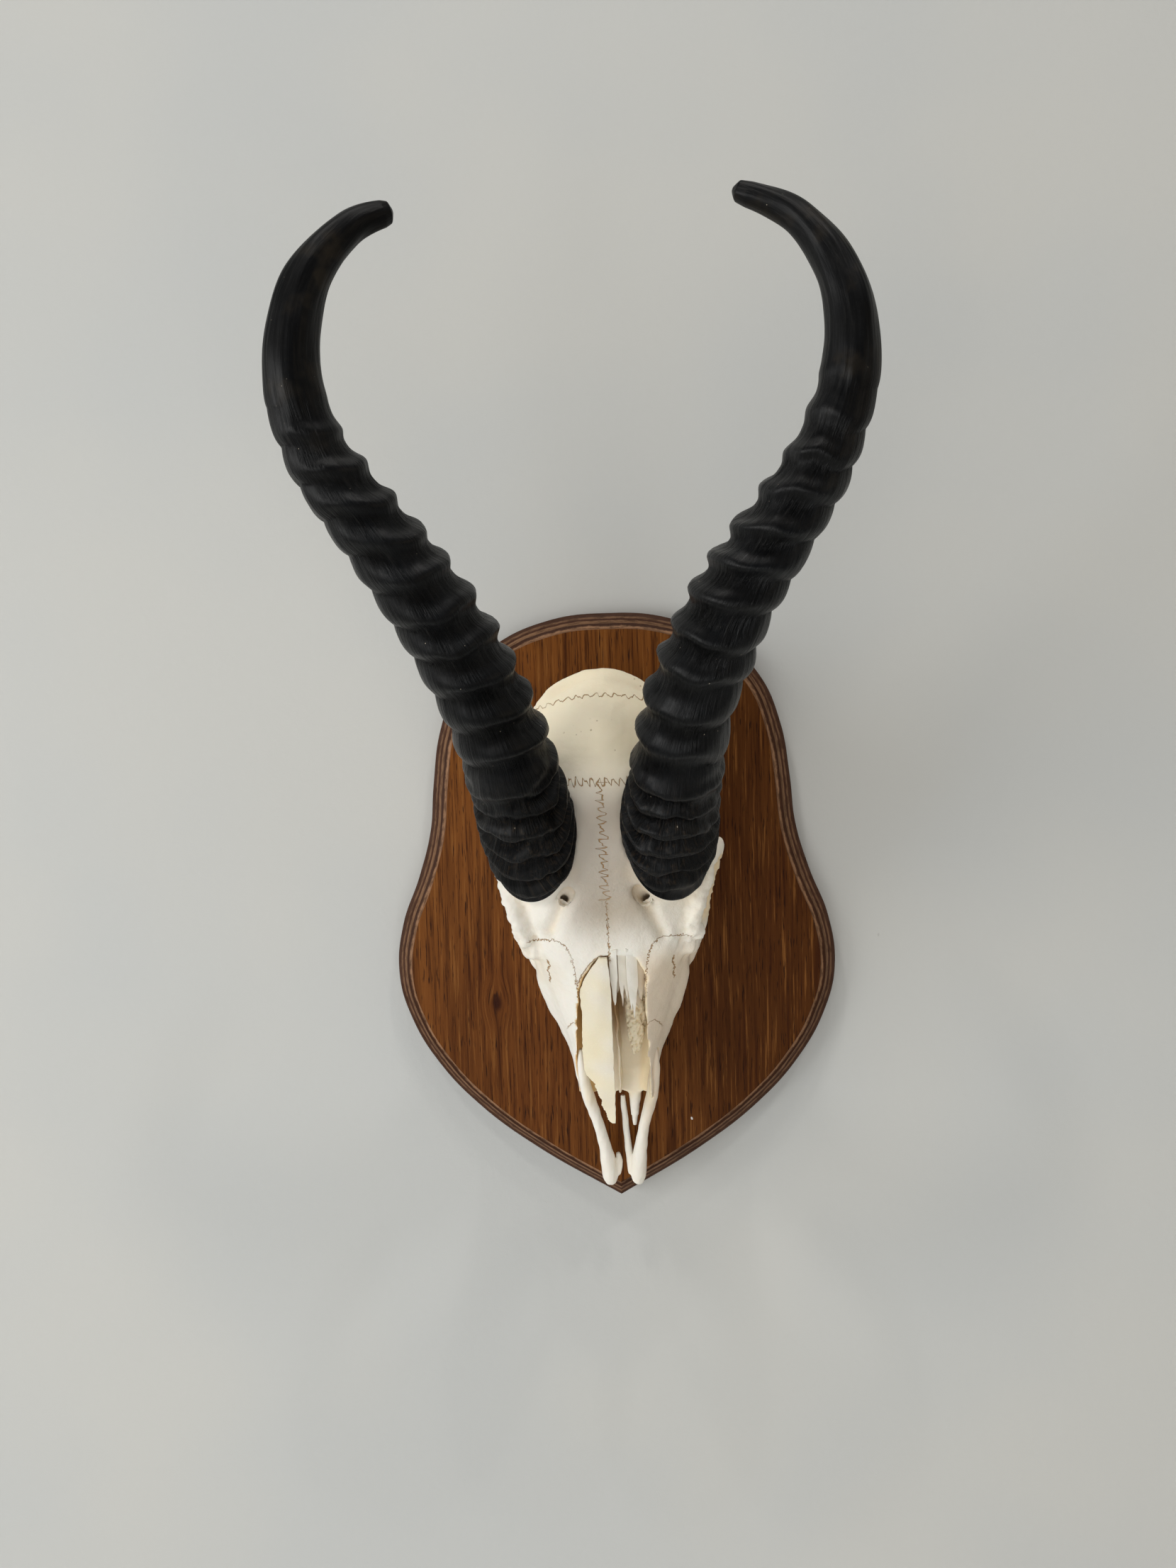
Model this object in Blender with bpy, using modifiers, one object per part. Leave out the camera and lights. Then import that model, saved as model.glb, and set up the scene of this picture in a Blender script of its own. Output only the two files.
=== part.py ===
"""Springbok skull with black ringed horns, fixed on a varnished wooden shield that hangs on a wall.

World frame: +X to the viewer's right, +Y into the wall, +Z up. The shield's back lies in the plane
Y = 0, and the origin is on it, at mid height. Lengths below are millimetres, and metres() makes them
metres. The skull has a seat of its own, an empty on the shield's face, and its points are given as
u (to the viewer's right), v (up the face from the nose tip) and h (height over the shield's face).
"""
import math

import bmesh
import bpy
from mathutils import Matrix, Vector

# Shield
SHIELD_THICK = 18.0
# Right half of the outline from the top middle to the foot, as (x, z)
SHIELD_HALF = [(0, 133.4), (27, 130.6), (52, 119.5), (67.5, 104), (76.3, 83), (80.3, 58), (82.3, 38),
               (88.2, 17), (96.5, -5), (99.3, -28), (94, -48.5), (82, -69.8), (63.8, -90), (38, -110),
               (0, -132.8)]
# Moulding, from the outer edge inwards: (width of the step, rise of the step)
SIDE_HEIGHT = 10.0
MOULDING = [(0.8, 1.2), (1.6, 1.0), (1.7, 1.5), (0.7, 1.6), (2.2, 0.9), (0.6, 1.8)]

# Seat of the skull on the shield, and its small lean
SEAT = (1.24, -118.07)
SKULL_LEAN = 1.03
GAP = 0.3

# Cranium, cross sections at stations v: height of the roof's middle, roof edge (u, h), side (u, h),
# lower edge (u, h), height of the underside's middle
SECTIONS = [
    (43, 40.0, (10.0, 38.0), (16.2, 28.0), (11.5, 18.5), 17.5),
    (52, 43.0, (11.0, 40.5), (17.6, 28.5), (12.5, 17.0), 16.8),
    (62, 46.5, (12.0, 43.5), (19.0, 29.0), (16.0, 14.0), 16.5),
    (72, 50.0, (12.8, 47.0), (22.4, 30.5), (22.5, 12.2), 16.5),
    (86, 55.5, (14.0, 52.5), (27.2, 33.0), (26.8, 12.0), 16.5),
    (99, 60.5, (16.5, 57.0), (31.0, 37.0), (28.5, 12.0), 16.5),
    (112, 65.5, (24.0, 60.0), (32.5, 42.0), (28.5, 12.0), 16.5),
    (126, 70.5, (34.5, 58.0), (34.0, 42.0), (27.5, 12.4), 17.0),
    (141, 76.5, (40.0, 58.5), (33.0, 40.0), (17.0, 18.0), 21.0),
    (156, 81.5, (41.5, 59.0), (29.0, 42.0), (12.0, 17.0), 17.5),
    (170, 82.0, (35.0, 60.0), (28.5, 44.0), (14.0, 15.0), 14.5),
    (185, 79.5, (27.0, 62.0), (30.5, 43.0), (20.0, 19.0), 14.0),
    (200, 73.0, (24.0, 60.0), (31.0, 40.0), (23.0, 18.0), 14.0),
    (212, 64.5, (19.5, 55.0), (26.0, 38.0), (20.0, 18.0), 15.0),
    (221, 55.0, (8.5, 49.5), (12.5, 37.0), (9.0, 24.0), 24.0),
    (225, 50.0, (2.6, 47.5), (4.0, 40.0), (2.6, 34.0), 33.0),
]
RING_POINTS = 24
# Share of the fused bone's faces that is kept
CRANIUM_THINNING = 0.048

# Eye sockets: centre (u, v, h), outward direction on each side (-1 is the left), radius of the rim's
# middle line and of its bone
ORBIT_CENTRE = (38.5, 133.0, 45.0)
ORBIT_OUT = {-1: (-0.95, -0.29, 0.05), 1: (0.95, -0.29, 0.15)}
ORBIT_RADIUS = 18.6
RIM_BONE = 3.0
ORBIT_DEPTH = 24.0

# Horns: middle line of each, seen from the front (u, v, h), from the seat on the skull to the tip
HORN_LEFT = [(-28.0, 160.0, 71.5), (-29.0, 169.5, 81.5), (-30.1, 181.0, 92.0), (-36.4, 211.4, 115.0),
             (-50.7, 244.7, 135.0), (-67.4, 271.1, 148.0), (-80.5, 292.2, 156.0), (-85.9, 316.8, 161.0),
             (-80.0, 341.5, 161.0), (-66.5, 357.6, 158.5), (-53.6, 364.0, 154.0)]
HORN_RIGHT = [(25.0, 158.5, 71.5), (25.4, 167.5, 81.5), (27.0, 178.5, 92.0), (32.0, 208.3, 115.0),
              (45.2, 240.0, 135.0), (61.8, 264.5, 148.0), (74.2, 284.0, 156.0), (82.1, 307.4, 161.0),
              (80.8, 332.1, 161.0), (69.0, 353.0, 157.5), (50.0, 364.5, 153.0)]
# Half width of the sheath against the share of its length, seat to tip
HORN_RADIUS = [(0.0, 18.6), (0.08, 18.3), (0.22, 16.0), (0.36, 14.6), (0.5, 11.6), (0.64, 9.4),
               (0.72, 8.5), (0.8, 7.1), (0.86, 5.8), (0.92, 4.7), (0.97, 3.9), (1.0, 2.2)]
HORN_DEEPER = 1.04
SEAT_NORMAL = (0.44, 0.21, 0.88)
# Rings: the place of the first, the step to the next and its shrinking, in millimetres
RING_START = 26.6
RING_STEP = 15.55
RING_SHRINK = 0.17
RING_COUNT = 12
HORN_SIDES = 12

# Nose tip: middle line and radius of a premaxilla (u, v, h, radius), and its shift to the right
PREMAXILLA = [(6.0, -1.2, 10.5, 2.3), (6.3, 3.0, 11.5, 3.6), (6.9, 10.0, 14.0, 3.3),
              (8.4, 21.0, 18.5, 2.5), (10.6, 32.0, 23.0, 2.4), (13.6, 44.0, 28.0, 2.6),
              (15.2, 56.0, 32.6, 2.2), (15.5, 62.0, 34.2, 1.6), (15.7, 67.0, 35.2, 0.9)]
INNER_PRONG = [(3.6, 3.0, 11.0, 2.0), (2.6, 12.0, 12.0, 1.6), (1.6, 26.0, 13.8, 1.4), (0.8, 40.0, 15.5, 1.1)]
BROKEN_PRONG = [(3.6, 3.0, 11.0, 2.0), (2.2, 9.0, 11.6, 1.6), (2.6, 12.8, 12.0, 0.7)]
NOSE_SHIFT = 0.7

# Nasal bone: stations v with its left edge, right edge and height of its ridge
NASAL = [(35.6, -2.3, -1.4, 36.6), (39, -5.0, -1.3, 37.8), (44, -6.6, -1.2, 39.6), (50, -8.0, -1.0, 42.0),
         (55, -9.6, -0.9, 43.8), (59.5, -12.4, -0.9, 45.4), (66, -13.2, -0.8, 47.8), (75, -13.0, -0.7, 51.2),
         (87, -12.3, -0.5, 55.8), (96, -12.6, -0.4, 59.4), (104, -9.9, -0.6, 62.6), (112, -4.6, -1.2, 65.6)]
NASAL_THICK = 1.5
NASAL_FALL = 0.26

# Cheek teeth, first premolar to last molar: length along the row, then the row's place
TOOTH_LENGTHS = [7.6, 8.2, 9.0, 12.0, 13.2, 13.2]
TOOTH_WIDTHS = [6.4, 7.2, 8.0, 10.0, 10.6, 10.0]
TOOTH_ROW_START = 66.5
TOOTH_ROOT_H = 15.0
TOOTH_FOOT_H = 0.4

# Screw that holds the skull, and the hanger in the shield's back
SCREW_V = 172.0
SCREW_RADIUS = 2.0
SCREW_HEAD_RADIUS = 4.2
HANGER_Z = 98.0
HANGER_SIZE = (16.0, 1.6, 40.0)


def metres(point):
    return Vector(point) * 0.001


def seat_point(u, v, h):
    """A point of the skull, as the seat's own x, y and z in millimetres."""
    return Vector((u, -h, v))


def curve_through(knots, share):
    """Smooth curve through equally weighted knots, share runs from 0 to 1."""
    place = min(max(share, 0.0), 1.0) * (len(knots) - 1)
    start = min(int(place), len(knots) - 2)
    part = place - start
    near = [Vector(knots[min(max(start + step, 0), len(knots) - 1)]) for step in (-1, 0, 1, 2)]
    slope_in = (near[2] - near[0]) * 0.5
    slope_out = (near[3] - near[1]) * 0.5
    square = part * part
    cube = square * part
    return (near[1] * (2 * cube - 3 * square + 1) + slope_in * (cube - 2 * square + part)
            + near[2] * (3 * square - 2 * cube) + slope_out * (cube - square))


def value_along(table, share):
    """Straight interpolation in a table of (share, value)."""
    for (left, low), (right, high) in zip(table, table[1:]):
        if share <= right:
            return low + (high - low) * (share - left) / (right - left)
    return table[-1][1]


def add_loft(bm, rings):
    """A closed skin over rings of equal count, given in millimetres."""
    rows = [[bm.verts.new(metres(point)) for point in ring] for ring in rings]
    faces = []
    for lower, upper in zip(rows, rows[1:]):
        for index in range(len(lower)):
            after = (index + 1) % len(lower)
            faces.append(bm.faces.new((lower[index], lower[after], upper[after], upper[index])))
    faces.append(bm.faces.new(rows[0][::-1]))
    faces.append(bm.faces.new(rows[-1]))
    bmesh.ops.recalc_face_normals(bm, faces=faces)


def tube_rings(points, sides):
    """Rings round a bent line of (x, y, z, radius) in the seat's own axes."""
    rings = []
    for index, point in enumerate(points):
        before = Vector(points[max(index - 1, 0)][:3])
        after = Vector(points[min(index + 1, len(points) - 1)][:3])
        turn = (after - before).to_track_quat("Z", "Y")
        ring = []
        for side in range(sides):
            angle = math.tau * side / sides
            offset = Vector((math.cos(angle), math.sin(angle), 0)) * point[3]
            ring.append(Vector(point[:3]) + turn @ offset)
        rings.append(ring)
    return rings


def add_tube(bm, knots, sides=10):
    """A tapering rod through skull points (u, v, h, radius)."""
    points = [(*seat_point(u, v, h), radius) for u, v, h, radius in knots]
    add_loft(bm, tube_rings(points, sides))


def add_egg(bm, centre, radii, turn=0.0, segments=16):
    """An ellipsoid at a skull point; turn tips it sideways about the v axis, in degrees."""
    size = Matrix.Diagonal((radii[0], radii[2], radii[1], 1000.0)) * 0.001
    tip = Matrix.Rotation(math.radians(turn), 4, "Z")
    place = Matrix.Translation(metres(seat_point(*centre)))
    bmesh.ops.create_uvsphere(bm, u_segments=segments, v_segments=segments // 2, radius=1.0,
                              matrix=place @ tip @ size)


def material(name, colour, roughness, metallic=0.0):
    made = bpy.data.materials.new(name)
    made.use_nodes = True
    shader = made.node_tree.nodes["Principled BSDF"]
    shader.inputs["Base Color"].default_value = (*colour, 1.0)
    shader.inputs["Roughness"].default_value = roughness
    shader.inputs["Metallic"].default_value = metallic
    return made


def new_object(name, bm, group, finish=None, seat=None):
    mesh = bpy.data.meshes.new(name)
    bm.to_mesh(mesh)
    bm.free()
    made = bpy.data.objects.new(name, mesh)
    group.objects.link(made)
    made.parent = seat
    if finish:
        mesh.materials.append(finish)
    else:
        made.hide_render = True
        made.display_type = "WIRE"
    return made


def cut(target, cutter):
    step = target.modifiers.new("cut_" + cutter.name, "BOOLEAN")
    step.operation = "DIFFERENCE"
    # The long thin room for a premaxilla defeats the exact solver
    step.solver = "MANIFOLD" if cutter.name.startswith("premaxilla") else "EXACT"
    step.object = cutter


def remesh(target, voxel):
    step = target.modifiers.new("fuse", "REMESH")
    step.mode = "VOXEL"
    step.voxel_size = voxel * 0.001


def smooth(target, passes):
    step = target.modifiers.new("soften", "SMOOTH")
    step.factor = 0.5
    step.iterations = passes


def thin_out(target, ratio):
    step = target.modifiers.new("thin_out", "DECIMATE")
    step.ratio = ratio


def skull_section(station, roof, roof_edge, side, low_edge, under):
    """One closed cross section of the cranium."""
    half = [(0, roof), (roof_edge[0] * 0.55, roof - 0.22 * (roof - roof_edge[1])), roof_edge, side,
            low_edge, (low_edge[0] * 0.55, under), (0, under)]
    count = RING_POINTS // 2
    right = [curve_through([(u, station, h) for u, h in half], index / count) for index in range(count + 1)]
    right[0].x = 0
    right[-1].x = 0
    left = [Vector((-point.x, point.y, point.z)) for point in right[-2:0:-1]]
    return [seat_point(*point) for point in right + left]


def rim_knots(side, radius, bone):
    """Points round an eye socket's rim."""
    out = Vector(ORBIT_OUT[side]).normalized()
    forward = Vector((0, 1, 0)) - out * out.y
    forward.normalize()
    rise = out.cross(forward)
    centre = Vector((ORBIT_CENTRE[0] * side, ORBIT_CENTRE[1], ORBIT_CENTRE[2]))
    knots = []
    for step in range(21):
        angle = math.tau * step / 20
        place = centre + (forward * math.cos(angle) + rise * math.sin(angle)) * radius
        knots.append((*place, bone))
    return knots


def horn_frame(knots, share):
    """Middle point, direction and half width of a horn, in skull points."""
    point = curve_through(knots, share)
    ahead = curve_through(knots, min(share + 0.01, 1.0))
    behind = curve_through(knots, max(share - 0.01, 0.0))
    direction = (ahead - behind).normalized()
    side = 1 if knots[0][0] > 0 else -1
    seat = Vector((SEAT_NORMAL[0] * side, SEAT_NORMAL[1], SEAT_NORMAL[2]))
    level = max(0.0, 1.0 - share / 0.28)
    direction = direction.lerp(seat, level).normalized()
    return point, direction, value_along(HORN_RADIUS, share)


def horn_section(knots, share, extra, sides):
    """A ring round the horn, a little deeper front to back than it is wide."""
    point, direction, radius = horn_frame(knots, share)
    across = Vector((1, 0, 0)) - direction * direction.x
    across.normalize()
    front = across.cross(direction)
    if front.z < 0:
        front = -front
    lean = 1.0 / max(abs(direction.dot(horn_axis(knots, share))), 0.82)
    ring = []
    for index in range(sides):
        angle = math.tau * index / sides
        swell = extra * (0.75 + 0.25 * math.sin(angle))
        wide = (radius + swell) * math.cos(angle)
        deep = (radius * HORN_DEEPER * lean + swell) * math.sin(angle)
        ring.append(seat_point(*(point + across * wide + front * deep)))
    return ring


def horn_axis(knots, share):
    ahead = curve_through(knots, min(share + 0.01, 1.0))
    behind = curve_through(knots, max(share - 0.01, 0.0))
    return (ahead - behind).normalized()


def share_at(knots, distance):
    """The share of the curve that lies a distance along it."""
    walked = 0.0
    last = curve_through(knots, 0.0)
    for step in range(1, 401):
        point = curve_through(knots, step / 400)
        walked += (point - last).length
        if walked >= distance:
            return step / 400
        last = point
    return 1.0


def horn_stations(knots):
    """(share, extra radius) for each section: valleys, flanks and crests of the rings, then the tip."""
    stations = [(0.0, 0.0), (0.018, 0.7), (0.034, -0.3), (0.052, 0.6), (0.07, -0.6)]
    for ring in range(RING_COUNT):
        crest = RING_START + RING_STEP * ring - RING_SHRINK * ring * ring
        step = RING_STEP - 2 * RING_SHRINK * ring
        strength = 1.6 - 0.09 * ring
        for offset, height in ((-0.25, 0.1), (0.0, 1.0), (0.4, -0.75)):
            stations.append((share_at(knots, crest + offset * step), height * strength))
    last = stations[-1][0]
    for step in range(1, 8):
        stations.append((last + (0.985 - last) * step / 7, 0.0))
    stations.append((1.0, 0.0))
    return stations


def make_horn(name, knots, group, finish, seat):
    bm = bmesh.new()
    add_loft(bm, [horn_section(knots, share, extra, HORN_SIDES) for share, extra in horn_stations(knots)])
    return new_object(name, bm, group, finish, seat)


def make_horn_seat_cutter(name, knots, group, seat):
    """The room that a horn takes out of the bone, with a small gap all round."""
    _, direction, _ = horn_frame(knots, 0.0)
    shift = direction * 0.7
    rings = [[point - seat_point(*shift) for point in horn_section(knots, 0.0, 1.2, 16)]]
    for share in (0.05, 0.14):
        rings.append(horn_section(knots, share, 1.4, 16))
    bm = bmesh.new()
    add_loft(bm, rings)
    return new_object(name, bm, group, None, seat)


def make_pedicle(bm, knots):
    """Bone under a horn, up to and a little past the seat."""
    _, direction, _ = horn_frame(knots, 0.0)
    rings = []
    for rise, grow in ((-20, 2.5), (-9, 1.2), (-3, -0.4), (3.5, -0.6)):
        shift = seat_point(*(direction * rise))
        rings.append([point + shift for point in horn_section(knots, 0.0, grow, 20)])
    add_loft(bm, rings)


def make_cranium(group, cutters, finish, seat):
    bm = bmesh.new()
    add_loft(bm, [skull_section(*section) for section in SECTIONS])
    for side, horn in ((-1, HORN_LEFT), (1, HORN_RIGHT)):
        add_tube(bm, rim_knots(side, ORBIT_RADIUS, RIM_BONE))
        # Cheek arch, from below the eye back to the braincase
        add_tube(bm, [(30 * side, 100, 24, 4.0), (36.5 * side, 117, 27, 4.2), (40.5 * side, 134, 26, 3.3),
                      (41.5 * side, 150, 29, 3.2), (40.5 * side, 166, 33, 3.2), (35 * side, 180, 37, 3.6),
                      (27 * side, 190, 38, 5.0)])
        # Bar behind the eye, and the knob at its top
        add_tube(bm, [(38 * side, 153, 60, 5.0), (44.0 * side, 153, 52, 3.6), (43.2 * side, 152, 40, 3.0),
                      (41.5 * side, 151, 28, 3.3)])
        # Front wall of the eye socket
        add_egg(bm, (31 * side, 114, 44), (6, 7, 13))
        make_pedicle(bm, horn)
        # Ear capsule, the process beside it and the joint knob of the neck
        add_egg(bm, (15.5 * side, 188, 15.5), (6.0, 10.0, 9.0))
        add_tube(bm, [(24 * side, 208, 32, 6.0), (22 * side, 208, 18, 4.0), (19 * side, 207, 8, 2.6),
                      (17.5 * side, 205, 1.8, 1.3)])
        add_egg(bm, (8.6 * side, 212.5, 18.0), (6.5, 7.5, 8.5), turn=20 * side)
        add_tube(bm, [(29 * side, 196, 30, 5.0), (31.5 * side, 192, 28, 3.6)])
        # Plate beside the inner nostrils
        add_tube(bm, [(8.5 * side, 128, 18, 2.4), (8.0 * side, 140, 16, 2.2), (7.5 * side, 152, 13.5, 2.0),
                      (7.0 * side, 160, 15, 2.4)])
        # Row of sockets for the cheek teeth
        add_tube(bm, [(15.0 * side, 57, 20.5, 1.6), (17.6 * side, 66, 18.8, 4.2), (20.8 * side, 80, 18, 6.0),
                      (22.8 * side, 104, 18, 6.4), (21.8 * side, 130, 18, 5.6)])
    # Palate between the two rods of the nose, broken off in two points
    add_tube(bm, [(6.2, 24.5, 15.5, 0.8), (6.6, 34, 16.2, 2.2), (7.0, 44, 17, 3.2), (6.5, 56, 17.6, 3.4)])
    add_tube(bm, [(-1.5, 39.0, 16.0, 0.9), (-3.5, 44, 16.6, 2.6), (-6.5, 52, 17.2, 3.4), (-6.5, 60, 17.6, 3.4)])
    # Crest at the back of the head, and the bump in front of it
    add_tube(bm, [(-25, 210, 48, 2.2), (-18, 218, 48.5, 2.2), (-9, 222.2, 49.4, 2.2), (0, 223.2, 50, 2.4),
                  (9, 222.0, 49.4, 2.2), (18, 217.5, 48.5, 2.2), (25, 209, 48, 2.2)])
    add_egg(bm, (-0.5, 198, 70.0), (6.0, 12.0, 4.5))
    cranium = new_object("cranium", bm, group, finish, seat)
    remesh(cranium, 1.7)
    smooth(cranium, 6)
    for cutter in cutters:
        cut(cranium, cutter)
    remesh(cranium, 1.3)
    smooth(cranium, 1)
    thin_out(cranium, CRANIUM_THINNING)


def make_orbit_cutter(side, group, seat):
    out = Vector(ORBIT_OUT[side]).normalized()
    centre = Vector((ORBIT_CENTRE[0] * side, ORBIT_CENTRE[1], ORBIT_CENTRE[2]))
    radius = ORBIT_RADIUS - RIM_BONE * 0.55
    knots = []
    for depth, share in ((-1.0, 0.35), (-0.86, 0.62), (-0.6, 0.86), (-0.25, 0.98), (0.0, 1.0), (0.6, 1.25)):
        knots.append((*(centre + out * ORBIT_DEPTH * depth), radius * share))
    bm = bmesh.new()
    add_tube(bm, knots, sides=16)
    return new_object("orbit_cutter", bm, group, None, seat)


def make_temple_cutter(side, group, seat):
    """The open pit behind the eye, inside the cheek arch."""
    bm = bmesh.new()
    add_egg(bm, (33.6 * side, 168, 36), (5.6, 11.0, 20.0), turn=4 * side, segments=12)
    return new_object("temple_cutter", bm, group, None, seat)


def make_nose_cutter(group, seat):
    """The nasal cavity, open in front and above."""
    rings = []
    for v, wide, waist, floor, left, right, sill in (
            (34, 13.0, 24, 20.0, 16.0, 14.4, 26), (52, 15.0, 27, 19.5, 16.4, 13.8, 31),
            (74, 18.4, 31, 19.5, 16.2, 13.4, 41), (90, 22.5, 34, 20.0, 14.2, 13.0, 51),
            (98, 22.5, 36, 21.0, 13.4, 13.2, 54), (106, 20.0, 40, 24.0, 10.6, 12.8, 56),
            (113.2, 12.0, 46, 34.0, 5.6, 9.5, 58)):
        half_right = [(0, floor), (wide * 0.7, floor + 0.4), (wide, waist), (right, sill), (right, 95)]
        half_left = [(-left, 95), (-left, sill), (-wide, waist), (-wide * 0.7, floor + 0.4)]
        rings.append([seat_point(u, v, h) for u, h in half_right + half_left])
    bm = bmesh.new()
    add_loft(bm, rings)
    return new_object("nose_cutter", bm, group, None, seat)


def make_small_cutters(group, seat):
    """Holes over the eyes, the throat side of the nose, the neck's hole and the screw's hole."""
    bm = bmesh.new()
    add_tube(bm, [(-15.4, 139.4, 79, 2.4), (-16.0, 137.0, 72, 2.2), (-15.0, 141, 65, 1.8)])
    add_tube(bm, [(13.6, 139.2, 79, 2.4), (14.0, 137.0, 72, 2.2), (13.2, 141, 65, 1.8)])
    grooves = new_object("brow_hole_cutter", bm, group, None, seat)
    bm = bmesh.new()
    add_egg(bm, (-19.4, 130.6, 74.4), (3.0, 9.0, 2.6), segments=10)
    left_groove = new_object("brow_groove_cutter_left", bm, group, None, seat)
    left_groove.data.transform(spin_about((-19.4, 130.6, 74.4), -28))
    bm = bmesh.new()
    add_egg(bm, (18.0, 130.6, 74.6), (3.0, 9.0, 2.6), segments=10)
    right_groove = new_object("brow_groove_cutter_right", bm, group, None, seat)
    right_groove.data.transform(spin_about((18.0, 130.6, 74.6), 28))
    bm = bmesh.new()
    add_egg(bm, (0, 138, 22.5), (5.6, 15.0, 6.5), segments=10)
    throat = new_object("throat_cutter", bm, group, None, seat)
    bm = bmesh.new()
    add_tube(bm, [(0, 224, 24, 8.0), (0, 212, 27, 7.0), (0, 203, 30, 5.0)], sides=16)
    neck = new_object("neck_hole_cutter", bm, group, None, seat)
    bm = bmesh.new()
    wide = SCREW_RADIUS + 4 * GAP
    add_tube(bm, [(0, SCREW_V, 2, wide), (0, SCREW_V, 28.5, wide)])
    screw = new_object("screw_hole_cutter", bm, group, None, seat)
    return [grooves, left_groove, right_groove, throat, neck, screw]


def spin_about(point, degrees):
    """A turn in the shield's plane about a skull point."""
    place = Matrix.Translation(metres(seat_point(*point)))
    return place @ Matrix.Rotation(math.radians(degrees), 4, "Y") @ place.inverted()


def premaxilla_parts(bm, side, prong, grow=0.0):
    add_tube(bm, [(u * side + NOSE_SHIFT, v, h, radius + grow) for u, v, h, radius in PREMAXILLA], sides=8)
    if prong:
        add_tube(bm, [(u * side + NOSE_SHIFT, v, h, radius + grow) for u, v, h, radius in prong], sides=8)


def make_premaxilla(name, side, prong, group, finish, seat):
    bm = bmesh.new()
    premaxilla_parts(bm, side, prong)
    made = new_object(name, bm, group, finish, seat)
    remesh(made, 0.8)
    smooth(made, 3)
    thin_out(made, 0.045)
    return made


def make_premaxilla_cutter(side, group, seat):
    bm = bmesh.new()
    premaxilla_parts(bm, side, None, 4 * GAP)
    return new_object("premaxilla_cutter", bm, group, None, seat)


def make_nasal(group, finish, seat):
    """Thin curved plate, highest along its inner edge."""
    columns = 3
    bm = bmesh.new()
    rows = []
    for v, left, right, ridge in NASAL:
        row = []
        for column in range(columns + 1):
            share = column / columns
            u = right + (left - right) * share
            away = right - u
            h = ridge - NASAL_FALL * away * (0.35 + 0.65 * away / 13.0)
            row.append(bm.verts.new(metres(seat_point(u, v, h))))
        rows.append(row)
    for lower, upper in zip(rows, rows[1:]):
        for column in range(columns):
            bm.faces.new((lower[column + 1], lower[column], upper[column], upper[column + 1]))
    bmesh.ops.recalc_face_normals(bm, faces=bm.faces)
    made = new_object("nasal_bone", bm, group, finish, seat)
    wall = made.modifiers.new("wall", "SOLIDIFY")
    wall.thickness = NASAL_THICK * 0.001
    wall.offset = 0.0
    return made


def make_vomer(group, finish, seat):
    """Thin upright blade on the floor of the nasal cavity."""
    rings = []
    for v, u, foot, crest, half in ((43.5, 0.9, 20.3, 23.5, 0.4), (58, 1.2, 20.3, 28.0, 0.6),
                                    (76, 0.8, 20.5, 33.0, 0.7), (92, 0.2, 21.2, 37.0, 0.7),
                                    (104, 0.0, 25.5, 40.0, 0.7)):
        corners = ((u - half * 1.8, foot), (u + half * 1.8, foot), (u + half, (foot + crest) / 2),
                   (u + half * 0.8, crest), (u - half * 0.8, crest), (u - half, (foot + crest) / 2))
        rings.append([seat_point(x, v, h) for x, h in corners])
    bm = bmesh.new()
    add_loft(bm, rings)
    return new_object("vomer", bm, group, finish, seat)


def make_concha(group, finish, seat):
    """Spongy scroll of bone against the right wall of the nasal cavity."""
    bm = bmesh.new()
    add_tube(bm, [(8.4, 66, 34.0, 0.9), (8.6, 70, 35.0, 2.6), (9.0, 79, 37.5, 4.0), (9.2, 90, 40.5, 4.6),
                  (8.6, 99, 43.0, 4.0), (8.0, 103.5, 44.0, 2.6)], sides=8)
    return new_object("nasal_concha", bm, group, finish, seat)


def tooth_row_u(v):
    """How far the middle of the row stands from the skull's middle."""
    return 23.2 - 0.0024 * (v - 108.0) ** 2


def make_teeth(group, finish, seat, cutter_group):
    """Six cheek teeth a side: two lobes each, with a valley along the chewing face."""
    cutters = []
    for side, word in ((-1, "left"), (1, "right")):
        place = TOOTH_ROW_START
        groove_rings = [groove_ring(place - 4 * GAP, TOOTH_WIDTHS[0], side)]
        for index, (length, width) in enumerate(zip(TOOTH_LENGTHS, TOOTH_WIDTHS)):
            middle = place + length / 2
            row_u = tooth_row_u(middle) * side
            lobes = 2 if index > 2 else 1
            rings = [tooth_ring(row_u, middle, length - 0.25, width, lobes, h, grow, side)
                     for h, grow in ((TOOTH_ROOT_H, -0.6), (8.0, 0.0), (TOOTH_FOOT_H + 0.8, -0.5))]
            bm = bmesh.new()
            add_loft(bm, rings)
            carve_chewing_face(bm)
            new_object(f"tooth_{word}_{index + 1}", bm, group, finish, seat)
            groove_rings.append(groove_ring(middle, width, side))
            place += length + GAP
        groove_rings.append(groove_ring(place + 3 * GAP, TOOTH_WIDTHS[-1], side))
        bm = bmesh.new()
        add_loft(bm, groove_rings)
        cutters.append(new_object("socket_cutter_" + word, bm, cutter_group, None, seat))
    return cutters


def groove_ring(v, width, side):
    """Cross section of the groove that a row of teeth stands in."""
    u = tooth_row_u(v) * side
    half = width * 0.55 + 3 * GAP
    top = TOOTH_ROOT_H + 3 * GAP
    return [seat_point(u + across * half, v, h) for across, h in ((-1, 3), (1, 3), (1, top), (-1, top))]


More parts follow.
